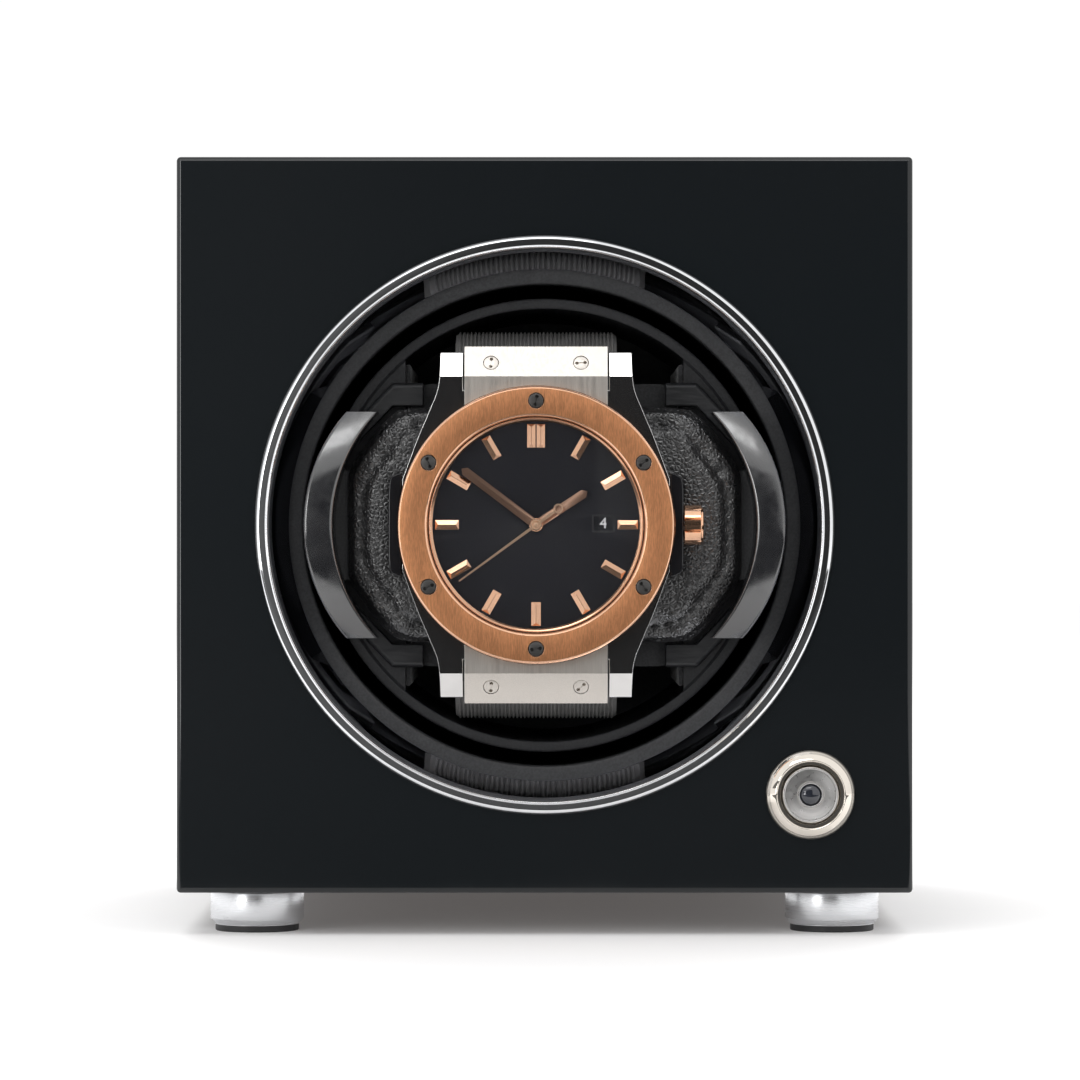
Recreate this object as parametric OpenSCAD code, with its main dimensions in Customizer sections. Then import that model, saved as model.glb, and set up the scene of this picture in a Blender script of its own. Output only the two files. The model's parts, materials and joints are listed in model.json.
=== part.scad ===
// Single watch winder: lacquered cabinet, motor-driven drum, sprung watch holder and the watch on it.
// The cabinet stands on the plane z = 0 and its window faces -Y.
// Most parts are drawn in a front frame: x right, y up, and depth measured back from the front face.

/* [Cabinet] */
// Width and height of the cabinet
cabinet_w = 112; // [110:0.5:120]
// Depth of the cabinet from its front face to its back edge
cabinet_d = 132; // [132:1:150]
// Thickness of the side walls
side_wall = 7; // [6:0.5:7]
// Thickness of the front wall
front_wall = 9; // [9:0.5:9]
// Rounding of the lacquered edges
edge_r = 0.8; // [0.6:0.2:2]

/* [Feet] */
// Diameter of an aluminium foot
foot_dia = 14.4; // [13:0.2:18]
// Height of the metal part of a foot
foot_h = 5.5; // [4.5:0.5:8]
// Thickness of rubber that shows below the metal
foot_pad_h = 1; // [0.6:0.2:1.6]
// Distance of a foot's centre from the cabinet's middle plane
foot_x = 44.4; // [38:0.2:46]
// Distance of a foot's centre from the front or back edge
foot_inset = 13; // [12:1:20]

/* [Window] */
// Outer diameter of the chrome ring
ring_dia = 88.1; // [87.6:0.1:89]
// How far the chrome ring stands out of the front face
ring_proud = 1.2; // [0.9:0.1:1.6]
// Inner diameter of the matte collar
collar_dia = 74.2; // [74:0.1:75]

/* [Drum] */
// Outer diameter of the drum
drum_dia = 70.4; // [69:0.2:71]
// Depth of the drum's front face
drum_face = 16.5; // [16.5:0.1:16.5]
// Width of the pocket between its flat side walls
pocket_w = 43.2; // [43:0.1:44]
// Depth of the pocket
pocket_depth = 55; // [54:0.5:55]

/* [Drive] */
// Number of teeth on the drum gear
gear_teeth = 48; // [40:4:48]
// Number of teeth on the motor pinion
pinion_teeth = 12; // [12:1:14]
// Gear module: pitch diameter divided by number of teeth
gear_module = 0.8; // [0.7:0.05:0.8]

/* [Push button] */
// Sideways place of the button from the window's axis
button_x = 40.4; // [40:0.1:40.6]
// Height of the button from the window's axis
button_y = -41; // [-41.2:0.1:-40.6]
// Diameter of the polished bezel
button_bezel_dia = 13.6; // [13.2:0.1:14.4]
// Diameter of the plunger that is pressed
plunger_dia = 8.7; // [8:0.1:8.8]

/* [Watch holder] */
// Width of the leather pad
pad_w = 60.6; // [58:0.2:60.6]
// Height of the leather pad
pad_h = 36.2; // [34:0.2:36.2]
// Distance between the outer sides of the two grips
grips_w = 73.4; // [73:0.1:73.6]
// Height of a grip
grip_h = 34.6; // [30:0.2:35]
// Distance that the front half of the holder presses in
press_travel = 2; // [1:0.1:2]

/* [Watch] */
// How far the bezel stands out of the cabinet's front face
watch_proud = 2.6; // [2.6:0.1:3]
// Sideways place of the watch on the holder
watch_x = -1.3; // [-1.3:0.1:0]
// Outer diameter of the bezel
bezel_dia = 42.2; // [42:0.1:42.4]
// Diameter of the crystal
crystal_dia = 32.8; // [32:0.1:32.8]
// Width of the strap
strap_w = 24.8; // [22:0.2:24.8]
// Minute that the watch shows
minute_shown = 51.1; // [0:0.1:60]
// Hour that the watch shows
hour_shown = 1.93; // [0:0.01:12]
// Second that the watch shows
second_shown = 39; // [0:1:60]

/* [Hidden] */
$fn = 96;
fit = 0.05;
cavity_w = cabinet_w - 2 * side_wall;
axis_z = foot_h + foot_pad_h + cabinet_w / 2;
// The watch is the foremost piece, so the origin lies half way between it and the cabinet's back edge.
front_y = (watch_proud - cabinet_d) / 2;
opening_r = 42.75;
screw_r = 1.25;
collar_front = front_wall + 0.15;
collar_t = 2;
collar_r = 47;
collar_screw_r = 45;
housing_back = 82;
housing_back_wall = 3;
housing_r = 40;
housing_wall = 2;
boss_end = 92;
bush_r = 5;
spindle_r = 3;
pillar_end = 99;
pillar_r = 2.9;
board_face = 100;
panel_face = 126;
panel_t = 3;
panel_screw_at = 43;
vent_rows = [0, -13];
gear_face = 93.2;
gear_t = 4;
gear_r = gear_module * gear_teeth / 2;
pinion_r = gear_module * pinion_teeth / 2;
motor_y = gear_r + pinion_r;
motor_pillars = [[-20, 28], [20, 28], [0, 37]];
board_pillars = [[-18, -32], [18, -32]];
inlet_at = [-30, -36];
frame_back = drum_face - fit;
frame_t = 3.55;
plate_face = 11;
plate_t = 1.5;
post_x = 11;
post_r = 2.5;
bezel_screw_ring = 18.83;
dial_depth = 3.1;
crown_depth = 6;
link_slope = 25;

// ---- helpers ----

// Places children in the front frame: x right, y up, z towards the viewer, zero on the front face.
module front_frame() {
    translate([0, front_y, axis_z]) rotate([90, 0, 0]) children();
}

// As front_frame, with depth counted from the watch's bezel and x from the watch's middle.
module watch_frame() {
    front_frame() translate([watch_x, 0, watch_proud]) children();
}

// Extrudes an outline between two depths.
module between(near, far) {
    translate([0, 0, -far]) linear_extrude(height = far - near) children();
}

// Solid cylinder between two depths.
module rod(near, far, r) {
    translate([0, 0, -far]) cylinder(h = far - near, r = r);
}

// Turned shape from [radius, depth] points.
module turned(points) {
    rotate_extrude() polygon([for (p = points) [p[0], -p[1]]]);
}

// Extrudes an outline of [depth, height] across the width.
module across(width) {
    rotate([0, 90, 0]) linear_extrude(height = width, center = true) children();
}

module rounded(w, h, r) {
    square([w - 2 * r, h], center = true);
    square([w, h - 2 * r], center = true);
    for (x = [-1, 1], y = [-1, 1]) translate([x * (w / 2 - r), y * (h / 2 - r)]) circle(r);
}

module at_corners(x, y) {
    for (i = [-1, 1], j = [-1, 1]) translate([i * x, j * y, 0]) children();
}

// Screw with its head between two depths and its shank reaching forward to a third.
module back_screw(tip, head_near, head_far, shank_r, head_r) {
    difference() {
        union() {
            rod(tip, head_near, shank_r);
            rod(head_near, head_far, head_r);
        }
        for (a = [0, 90]) rotate([0, 0, a])
            between(head_far - 0.6, head_far + 1) square([head_r * 1.3, head_r * 0.3], center = true);
    }
}

function involute_at(base_r, a) = [base_r * (cos(a) + a * PI / 180 * sin(a)),
                                   base_r * (sin(a) - a * PI / 180 * cos(a))];
function involute_angle(base_r, r) = r <= base_r ? 0 : sqrt(pow(r / base_r, 2) - 1) * 180 / PI;
function polar_angle(p) = atan2(p[1], p[0]);
function turn2(p, a) = [p[0] * cos(a) - p[1] * sin(a), p[0] * sin(a) + p[1] * cos(a)];

// Outline of an involute gear with a tooth on the +x axis.
module gear_outline(teeth, backlash) {
    pitch_r = gear_module * teeth / 2;
    base_r = pitch_r * cos(20);
    tip_r = pitch_r + 0.85 * gear_module;
    root_r = pitch_r - 1.15 * gear_module;
    half = 90 / teeth - backlash / pitch_r * 90 / PI;
    pitch_turn = polar_angle(involute_at(base_r, involute_angle(base_r, pitch_r)));
    flank_r = [for (k = [0:4]) max(base_r, root_r) + (tip_r - max(base_r, root_r)) * k / 4];
    low_flank = [for (r = flank_r)
        turn2(involute_at(base_r, involute_angle(base_r, r)), -half - pitch_turn)];
    foot_turn = polar_angle(low_flank[0]);
    tooth = concat([[root_r * cos(foot_turn), root_r * sin(foot_turn)]], low_flank,
                   [for (k = [4:-1:0]) [low_flank[k][0], -low_flank[k][1]]],
                   [[root_r * cos(foot_turn), -root_r * sin(foot_turn)]]);
    polygon([for (i = [0:teeth - 1]) for (p = tooth) turn2(p, i * 360 / teeth)]);
}

function unit(v) = v / norm(v);
function blend(a, b, c, d, t) = 0.5 * (2 * b + (c - a) * t + (2 * a - 5 * b + 4 * c - d) * t * t
                                       + (3 * b - a - 3 * c + d) * t * t * t);
function smooth_path(p, steps) = let (n = len(p) - 1) concat(
    [for (i = [0:n - 1]) for (k = [0:steps - 1])
        blend(p[max(i - 1, 0)], p[i], p[i + 1], p[min(i + 2, n)], k / steps)], [p[n]]);
function heading(p, i) = unit(p[min(i + 1, len(p) - 1)] - p[max(i - 1, 0)]);

// Round tube along a path of [x, y, z] points; across_v is a direction the path never runs along.
module tube(path, r, across_v) {
    sides = 8;
    rings = len(path);
    skin = [for (i = [0:rings - 1]) let (t = heading(path, i), u = unit(cross(t, across_v)), v = cross(t, u))
            for (k = [0:sides - 1]) path[i] + r * (cos(k * 45) * u + sin(k * 45) * v)];
    walls = [for (i = [0:rings - 2]) for (k = [0:sides - 1])
        [i * sides + k, (i + 1) * sides + k, (i + 1) * sides + (k + 1) % sides, i * sides + (k + 1) % sides]];
    polyhedron(skin, concat(walls, [[for (k = [0:sides - 1]) k]],
                            [[for (k = [sides - 1:-1:0]) (rings - 1) * sides + k]]));
}

// Wire along smoothed points given as [x, y, depth].
module wire(points, r) {
    tube(smooth_path([for (p = points) [p[0], p[1], -p[2]]], 3), r, [1, 0.4, 0.25]);
}

// Coil spring round the z axis, from z = 0 downwards.
module coil(length, r, wire_r, turns) {
    steps = 13;
    drop = (length - 2 * wire_r) / (turns * steps);
    tube([for (i = [0:turns * steps])
            [r * cos(i * 360 / steps), r * sin(i * 360 / steps), -wire_r - i * drop]],
         wire_r, [0, 0, 1]);
}

// ---- cabinet ----

module rounded_block() {
    intersection() {
        between(0, cabinet_d) rounded(cabinet_w, cabinet_w, edge_r);
        translate([0, 0, -cabinet_d / 2]) rotate([90, 0, 0])
            linear_extrude(height = cabinet_w, center = true) rounded(cabinet_w, cabinet_d, edge_r);
        translate([0, 0, -cabinet_d / 2]) across(cabinet_w) rounded(cabinet_d, cabinet_w, edge_r);
    }
}

module foot_places() {
    for (x = [-foot_x, foot_x], y = [front_y + foot_inset, front_y + cabinet_d - foot_inset])
        translate([x, y, 0]) children();
}

module cabinet_shell() {
    color("#0e1113") difference() {
        front_frame() difference() {
            rounded_block();
            difference() {
                between(front_wall, cabinet_d + 1) square(cavity_w, center = true);
                // glue blocks that take the back panel's screws
                at_corners(panel_screw_at + 1, panel_screw_at + 1)
                    between(112, panel_face) square(10, center = true);
            }
            rod(-1, front_wall + 1, opening_r);
            translate([button_x, button_y, 0]) rod(-1, front_wall + 1, 6 + fit);
            at_collar_screws() rod(4, front_wall + 1, screw_r);
            at_corners(panel_screw_at, panel_screw_at) rod(115, panel_face + 1, 1.5);
        }
        foot_places() cylinder(h = 13, r = 1.5);
    }
}

module back_panel() {
    color("#1a1a1c") front_frame() difference() {
        between(panel_face, panel_face + panel_t) rounded(cavity_w - 0.4, cavity_w - 0.4, 1);
        translate(inlet_at) rod(panel_face - 1, panel_face + panel_t + 1, 4 + fit);
        at_corners(panel_screw_at, panel_screw_at) rod(panel_face - 1, panel_face + panel_t + 1, 1.6);
        for (y = vent_rows) translate([0, y])
            between(panel_face - 1, panel_face + panel_t + 1) rounded(56, 6.4, 3);
    }
}

module back_panel_screws() {
    color("#303236") front_frame() at_corners(panel_screw_at, panel_screw_at)
        back_screw(117, panel_face + panel_t, panel_face + panel_t + 1.6, 1.5, 2.8);
}

module feet() {
    r = foot_dia / 2;
    top = foot_h + foot_pad_h;
    color("silver") foot_places() rotate_extrude() polygon([
        [1.7, top], [r, top], [r, foot_pad_h + 0.8], [r - 0.75, foot_pad_h], [6.5, foot_pad_h],
        [6.5, foot_pad_h + 0.8], [3.3, foot_pad_h + 0.8], [3.3, foot_pad_h + 2.8], [1.7, foot_pad_h + 2.8]]);
}

module foot_pads() {
    color("#202020") foot_places() cylinder(h = foot_pad_h + 0.8, r = 6.45);
}

module foot_screws() {
    color("gray") foot_places() {
        translate([0, 0, foot_pad_h + 1]) cylinder(h = 1.8, r = 3);
        translate([0, 0, foot_pad_h + 2.8]) cylinder(h = 9, r = 1.45);
    }
}

module bezel_ring() {
    r = ring_dia / 2;
    color("#dfe3e6") front_frame() turned([
        [42.3, 4], [42.3, -0.1], [42.1, -0.3], [42.1, 0.25 - ring_proud], [42.3, -ring_proud],
        [42.6, -ring_proud], [42.9, 0.3 - ring_proud], [r - 0.8, 0.3 - ring_proud],
        [r - 0.5, 0.15 - ring_proud], [r - 0.2, 0.25 - ring_proud], [r, 0.55 - ring_proud], [r, 0],
        [42.7, 0], [42.7, 4]]);
}

// Concave polished wall, steep at the front and flatter towards the collar.
module funnel_ring() {
    sweep_r = 19;
    wall_points = [for (a = [8:3:32]) [23.085 + sweep_r * cos(a), -2.744 + sweep_r * sin(a)]];
    color("#08090a") front_frame() turned(concat(wall_points,
        [[39.2, front_wall + 0.1], [42.65, front_wall + 0.1], [42.65, 4.1], [42.2, 4.1], [42.2, -0.1]]));
}

module at_collar_screws() {
    for (a = [45:90:315]) rotate([0, 0, a]) translate([collar_screw_r, 0, 0]) children();
}

// Flat ring behind the front wall, with a spigot that the housing fits over.
module collar() {
    color("#2a2c2e") front_frame() difference() {
        union() {
            rod(collar_front, collar_front + collar_t, collar_r);
            rod(collar_front + 1, collar_front + collar_t + 2.2, housing_r - housing_wall - fit);
        }
        rod(collar_front - 1, collar_front + collar_t + 3, collar_dia / 2);
        at_collar_screws() rod(collar_front - 1, collar_front + 3, screw_r + 0.1);
    }
}

module inner_housing() {
    color("#2a2c2e") front_frame() difference() {
        union() {
            rod(collar_front + collar_t + fit, housing_back + housing_back_wall, housing_r);
            rod(housing_back, boss_end, 9);
            for (p = motor_pillars) translate(p) rod(housing_back + 1, pillar_end, pillar_r);
            for (p = board_pillars) translate(p) rod(housing_back + 1, board_face, pillar_r);
        }
        rod(collar_front, housing_back, housing_r - housing_wall);
        rod(housing_back - 1, boss_end + 1, bush_r);
        for (p = motor_pillars) translate(p) rod(pillar_end - 7, pillar_end + 1, screw_r);
        for (p = board_pillars) translate(p) rod(board_face - 7, board_face + 1, screw_r);
    }
}

// Identical machine screws that hold the collar, the motor bracket and the circuit board.
module frame_screws() {
    color("#8d9094") front_frame() {
        at_collar_screws()
            back_screw(5, collar_front + collar_t, collar_front + collar_t + 1.5, screw_r, 2.2);
        for (p = motor_pillars) translate(p)
            back_screw(pillar_end - 6, pillar_end + 1.5, pillar_end + 3, screw_r, 2.2);
        for (p = board_pillars) translate(p)
            back_screw(board_face - 6, board_face + 1.6, board_face + 3.1, screw_r, 2.2);
    }
}

// ---- drive ----

module spindle_bushes() {
    bore = spindle_r + 0.06;
    color("#b08a4a") front_frame() {
        difference() {
            union() { rod(housing_back - 1, housing_back, 6.5); rod(housing_back, 86.5, bush_r); }
            rod(housing_back - 2, 87, bore);
        }
        difference() {
            union() { rod(87.5, boss_end, bush_r); rod(boss_end, boss_end + 1, 6.5); }
            rod(87, boss_end + 2, bore);
        }
    }
}

module spindle() {
    color("silver") front_frame() difference() {
        rod(73.5, 98, spindle_r);
        rod(73, 80, screw_r);
    }
}

module drum_gear() {
    color("#d9d4c4") front_frame() difference() {
        between(gear_face, gear_face + gear_t) gear_outline(gear_teeth, 0.12);
        rod(gear_face - 1, gear_face + gear_t + 1, spindle_r + 0.02);
        for (a = [0:60:300]) rotate([0, 0, a]) translate([11.5, 0, 0])
            rod(gear_face - 1, gear_face + gear_t + 1, 3);
    }
}

// The drum gear has a tooth on +x and 12 teeth per quarter, so a tooth points up; the pinion meets it
// with a gap, half a tooth pitch round from its own tooth.
module motor_pinion() {
    color("#b9bcc0") front_frame() translate([0, motor_y, 0]) {
        rotate([0, 0, -90 + 180 / pinion_teeth]) between(gear_face - 0.4, gear_face + gear_t + 0.4)
            gear_outline(pinion_teeth, 0.12);
        rod(gear_face + gear_t, 104.5, 1.5);
    }
}

module motor_bracket() {
    color("#9a9da1") front_frame() difference() {
        between(pillar_end, pillar_end + 1.5) translate([0, 29]) rounded(50, 26, 4);
        translate([0, motor_y, 0]) rod(pillar_end - 1, pillar_end + 3, 4);
        for (p = motor_pillars) translate(p) rod(pillar_end - 1, pillar_end + 3, screw_r + 0.1);
    }
}

module gearbox() {
    color("#c9ccd0") front_frame() translate([0, motor_y, 0]) difference() {
        union() {
            rod(pillar_end + 1.5, 108.5, 10.5);
            rod(pillar_end, pillar_end + 2, 3.9);
        }
        rod(pillar_end - 1, 105, 1.56);
    }
}

module motor() {
    color("#8f9396") front_frame() translate([0, motor_y, 0]) {
        rod(108.5, 121, 9.5);
        rod(121, 122, 3.5);
        for (x = [-5, 5]) translate([x, 0, 0]) between(121, 123.5) square([1.6, 0.6], center = true);
    }
}

module circuit_board() {
    color("#1d5b3a") front_frame() difference() {
        between(board_face, board_face + 1.6) translate([0, -37]) rounded(66, 17, 1);
        for (p = board_pillars) translate(p) rod(board_face - 1, board_face + 3, screw_r + 0.1);
    }
}

// Chip, regulator, capacitor and three wire connectors, all standing on the back of the board.
module board_components() {
    top = board_face + 1.6;
    color("#26282b") front_frame() {
        translate([-4, -38]) between(top, top + 1.6) square([9, 7], center = true);
        translate([-10.5, -41]) between(top, top + 2) square([3, 5], center = true);
        translate([11, -41]) rod(top, top + 8, 3);
        for (x = [-28, 8, 28]) translate([x, -34]) between(top, top + 5) square([6, 4], center = true);
    }
}

module power_inlet() {
    back = panel_face + panel_t;
    color("#17181a") front_frame() translate(inlet_at) {
        difference() {
            union() { rod(back, back + 1.5, 5.5); rod(back - 12, back, 4); }
            rod(back - 9, back + 2, 2.75);
        }
        rod(back - 10, back + 0.5, 1.05);
    }
}

module inlet_nut() {
    color("#c4c7ca") front_frame() translate(inlet_at) difference() {
        rod(panel_face - 2, panel_face, 6, $fn = 6);
        rod(panel_face - 3, panel_face + 1, 4 + fit);
    }
}

// Two-wire leads from the board's connectors to the switch, the motor and the power inlet.
module wiring_loom() {
    socket = board_face + 6.75;
    color("#a02020") front_frame() for (side = [-1, 1]) {
        wire([[button_x + 1.5 * side, button_y, 27.15], [button_x + 1.5 * side, button_y - 1, 45],
              [button_x + 1.5 * side, button_y - 1, 92], [34 + side, -38, 108],
              [28 + 1.2 * side, -34, 110], [28 + 1.2 * side, -34, socket]], 0.6);
        wire([[8 + 1.2 * side, -34, socket], [8 + 1.2 * side, -32, 111], [13 + 1.2 * side, -10, 116],
              [14 + 1.2 * side, 12, 118],
              [5.5 + 4.5 * side, motor_y - 3 + 2 * side, 124.4], [5 * side, motor_y - 1.8, 123.8],
              [5 * side, motor_y - 1, 122.6]], 0.6);
        wire([[-28 + 1.2 * side, -34, socket], [-28 + 1.2 * side, -34.5, 110],
              [inlet_at[0] + 1.5 * side, inlet_at[1], 113],
              [inlet_at[0] + 1.5 * side, inlet_at[1], panel_face + panel_t - 12.15]], 0.6);
    }
}

// ---- push button ----

module at_button() {
    front_frame() translate([button_x, button_y, 0]) children();
}

module switch_bezel() {
    r = button_bezel_dia / 2;
    bore = plunger_dia / 2 + 0.08;
    color("#d8d2c6") at_button() {
        turned([[bore, -0.7], [4.9, -0.7], [4.95, -1.3], [5.35, -1.85], [5.8, -2], [r - 0.35, -1.5],
                [r, -0.6], [r, 0], [5.95, 0], [5.95, 22], [1.8, 22], [1.8, 14], [bore, 14]]);
        for (x = [-1.5, 1.5]) translate([x, 0, 0]) rod(21.5, 27, 0.7);
    }
}

module switch_nut() {
    color("#b9bcc0") at_button() difference() {
        rod(front_wall, front_wall + 2.5, 8.05, $fn = 6);
        rod(front_wall - 1, front_wall + 3, 5.95);
    }
}

module switch_spring() {
    color("silver") at_button() translate([0, 0, -5.1]) coil(8.8, 2.7, 0.3, 6);
}

module switch_button() {
    color("#c2c4c6") at_button() difference() {
        union() { rod(-1.5, 5, plunger_dia / 2); rod(5, 14.5, 1.5); }
        rod(-2, 1.4, 1.65);
    }
}

module switch_lens() {
    color("#30343a") at_button()
        turned([[0, -1.9], [0.8, -1.8], [1.35, -1.5], [1.62, -1.5], [1.62, 1.4], [0, 1.4]]);
}

// ---- drum ----

module pocket_outline(r) {
    intersection() {
        circle(r);
        square([pocket_w, 2 * r], center = true);
    }
}

module segments_outline(r, gap) {
    difference() {
        circle(r);
        square([gap, 3 * r], center = true);
    }
}

module drum() {
    rim = drum_dia / 2 - 1.6;
    floor_face = drum_face + pocket_depth;
    color("#1b1d1f") front_frame() difference() {
        union() {
            rod(drum_face, floor_face + 4, drum_dia / 2);
            rod(floor_face + 4, 80.5, 8);
        }
        between(drum_face - 1, floor_face) pocket_outline(rim);
        between(drum_face - 1, drum_face + 0.5) segments_outline(rim, pocket_w);
        // hollow behind each segment, open at the back as it comes out of the mould
        between(drum_face + 2.5, floor_face + 5) segments_outline(rim, pocket_w + 4);
        rod(73.5, 81, spindle_r);
        rod(floor_face - 1, 74, screw_r + 0.2);
    }
}

module slot_liners() {
    color("#303030") front_frame() for (x = [-1, 1])
        between(drum_face + 2, 66) translate([x * (pocket_w / 2 - 0.4), 0]) square([0.8, 50], center = true);
}

module drum_screw() {
    floor_face = drum_face + pocket_depth;
    color("gray") front_frame() {
        rod(floor_face, 79.5, screw_r);
        rod(floor_face - 1.8, floor_face, 3);
    }
}

// ---- holder, rear half ----

module cuff_core() {
    color("#202224") front_frame() difference() {
        union() {
            between(frame_back, 18) rounded(41.2, 43.8, 3);
            between(17, 48) rounded(35, 35, 4);
        }
        for (x = [-post_x, post_x]) translate([x, 0, 0]) {
            rod(frame_back - 1, 28, 4.4);
            rod(27, 42, post_r + 0.06);
        }
        at_corners(19.6, 20.2) rod(16, 18.5, 0.6);
    }
}

// Leather over foam, open at the front where the core's flange closes it.
module cuff_wrap() {
    color("#1c1c1e") front_frame() across(36.4) difference() {
        translate([35.8, 0]) rounded(35.4, 43.6, 9);
        translate([33.15, 0]) square([30.4, 35.3], center = true);
    }
}

// Right-hand C frame: bars above and below, cut corners and a spine behind the grip.
module end_frame_outline() {
    polygon([[18.7, 22], [23.6, 22], [34, 11.1], [34, -11.1], [23.6, -22], [18.7, -22], [18.7, -18.4],
             [23.5, -18.4], [30.9, -10.6], [30.9, 10.6], [23.5, 18.4], [18.7, 18.4]]);
}

module end_frame() {
    difference() {
        between(frame_back - frame_t, frame_back) end_frame_outline();
        between(frame_back - frame_t - 1, plate_face + plate_t + press_travel + 0.3)
            translate([32, 0]) square([6, 17.6], center = true);
        for (y = [-20.2, 20.2]) translate([19.6, y, 0]) rod(frame_back - 2, frame_back + 1, 0.6);
    }
}

module left_end_frame() {
    color("#26282a") front_frame() mirror([1, 0, 0]) end_frame();
}

module right_end_frame() {
    color("#26282a") front_frame() end_frame();
}

module end_frame_screws() {
    color("silver") front_frame() at_corners(19.6, 20.2) {
        rod(frame_back - 1.8, 18, 0.55);
        rod(18, 18.8, 0.95);
    }
}

module press_springs() {
    color("silver") front_frame() for (x = [-post_x, post_x])
        translate([x, 0, -plate_face - plate_t - 0.4]) coil(27.5 - plate_face - plate_t, 3.4, 0.35, 6);
}

// ---- holder, front half ----

// Eight-sided outline of the pad, shrunk by inset.
module pad_outline(inset) {
    x = pad_w / 2 - inset;
    y = pad_h / 2 - inset;
    polygon([[-x, -y + 9.5], [-x + 7.3, -y], [x - 7.3, -y], [x, -y + 9.5],
             [x, y - 9.5], [x - 7.3, y], [-x + 7.3, y], [-x, y - 9.5]]);
}

module cushion_plate() {
    color("#232527") front_frame() {
        between(plate_face, plate_face + plate_t) {
            pad_outline(0.4);
            square([65.4, 16.8], center = true);
        }
        for (x = [-1, 1]) {
            between(10.7, plate_face + 0.5) translate([x * 31.6, 0]) square([2.2, 16.8], center = true);
            translate([x * post_x, 0, 0]) rod(plate_face + 1, 38, post_r);
        }
    }
}

module cushion_pad() {
    color("#17181a") front_frame() difference() {
        between(6.8, plate_face - fit) pad_outline(0);
        translate([watch_x, 0, 0]) rod(6, 8.75, 19.3);
    }
}

// Curved finger grip: a crescent seen from the front, with a face rounded over its height.
module grip() {
    outer_r = 27;
    inner_r = 25.5;
    out = grips_w / 2;
    intersection() {
        between(-2, 10.65) difference() {
            translate([out - outer_r, 0]) circle(outer_r);
            translate([out - 4.5 - inner_r, 0]) circle(inner_r);
            translate([-30, 0]) square([90, 80], center = true);
        }
        translate([30, 0, 0]) across(60) intersection() {
            translate([31.2, 0]) circle(32);
            square([40, grip_h], center = true);
        }
    }
}

module left_grip() {
    color("#2b2d30") front_frame() mirror([1, 0, 0]) grip();
}

module right_grip() {
    color("#2b2d30") front_frame() grip();
}

// ---- watch ----

module case_outline() {
    quarter = [[11.1, 26.3], [14.6, 26.3], [14.9, 21.2], [16.2, 17.6], [17.9, 13.6], [19.6, 9.1],
               [20.4, 6.9]];
    n = len(quarter) - 1;
    polygon(concat([[11.1, 20.5]], quarter, [for (k = [n:-1:0]) [quarter[k][0], -quarter[k][1]]],
                   [[11.1, -20.5], [-11.1, -20.5]], [for (p = quarter) [-p[0], -p[1]]],
                   [for (k = [n:-1:0]) [-quarter[k][0], quarter[k][1]]], [[-11.1, 20.5]]));
}

module watch_case() {
    color("#6f7175") watch_frame() difference() {
        between(3.3, 9) case_outline();
        rod(3, 10, crystal_dia / 2 + 0.2);
        // the lugs' faces slope back towards their tips
        for (m = [0, 1]) mirror([0, m, 0]) across(40) polygon([[3.2, 22.4], [5.4, 27.2], [3, 28], [0, 24]]);
        translate([12, 0, -crown_depth]) rotate([0, 90, 0]) cylinder(h = 12, r = 1);
    }
}

module watch_side_bumpers() {
    color("#141516") watch_frame() difference() {
        for (m = [0, 1]) mirror([m, 0, 0]) between(3.6, 8.7)
            polygon([[20.45, -8], [22.4, -6.6], [22.5, 0], [22.4, 6.6], [20.45, 8]]);
        translate([19, 0, -crown_depth]) rotate([0, 90, 0]) cylinder(h = 5, r = 1);
    }
}

module watch_bezel() {
    r = bezel_dia / 2;
    bore = crystal_dia / 2 + 0.05;
    color("#c98a5e") watch_frame() difference() {
        turned([[bore, 0.35], [bore + 0.4, 0], [r - 0.6, 0], [r, 0.7], [r, 3.25], [bore, 3.25]]);
        for (a = [0:60:300]) rotate([0, 0, a + 90]) translate([bezel_screw_ring, 0, 0]) rod(-1, 2, 1.2);
    }
}

// Flush head with two small holes for a pin spanner.
module spanner_screw(length) {
    difference() {
        rod(0, length, 1.15);
        for (x = [-0.6, 0.6]) translate([x, 0, 0]) rod(-1, 0.5, 0.22);
    }
}

module watch_screws() {
    color("#6d6a66") watch_frame() {
        for (a = [0:60:300]) rotate([0, 0, a + 90])
            translate([bezel_screw_ring, 0, 0.02]) spanner_screw(1.95);
        for (m = [0, 1], x = [-6.85, 6.85]) mirror([0, m, 0]) translate([x, 24.7, -3.6])
            rotate([-link_slope, 0, 0]) spanner_screw(1.9);
    }
}

module watch_crystal() {
    color("#a0b0c0", 0.3) watch_frame() rod(0.15, 1.7, crystal_dia / 2);
}

module watch_dial() {
    color("#15171a") watch_frame() difference() {
        rod(dial_depth, dial_depth + 0.4, crystal_dia / 2);
        rod(dial_depth - 1, dial_depth + 1, 0.95);
        translate([10.25, 0.2]) between(dial_depth - 1, dial_depth + 1) square([3, 2.2], center = true);
    }
}

// Baton with a pitched top: a ridge runs along it.
module baton(length, width) {
    translate([length / 2, 0, 0]) across(length)
        polygon([[-0.35, 0], [-0.12, width / 2], [0, width / 2], [0, -width / 2], [-0.12, -width / 2]]);
}

module watch_hour_markers() {
    color("#d79a70") watch_frame() for (h = [1:12]) translate([0, 0, -dial_depth]) rotate(90 - 30 * h) {
        if (h == 12) for (y = [-0.72, 0.72]) translate([11.75, y, 0]) baton(3.6, 1.26);
        else if (h == 3) translate([12.4, 0, 0]) baton(3.1, 1.4);
        else translate([11.75, 0, 0]) baton(3.6, 1.44);
    }
}

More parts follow.
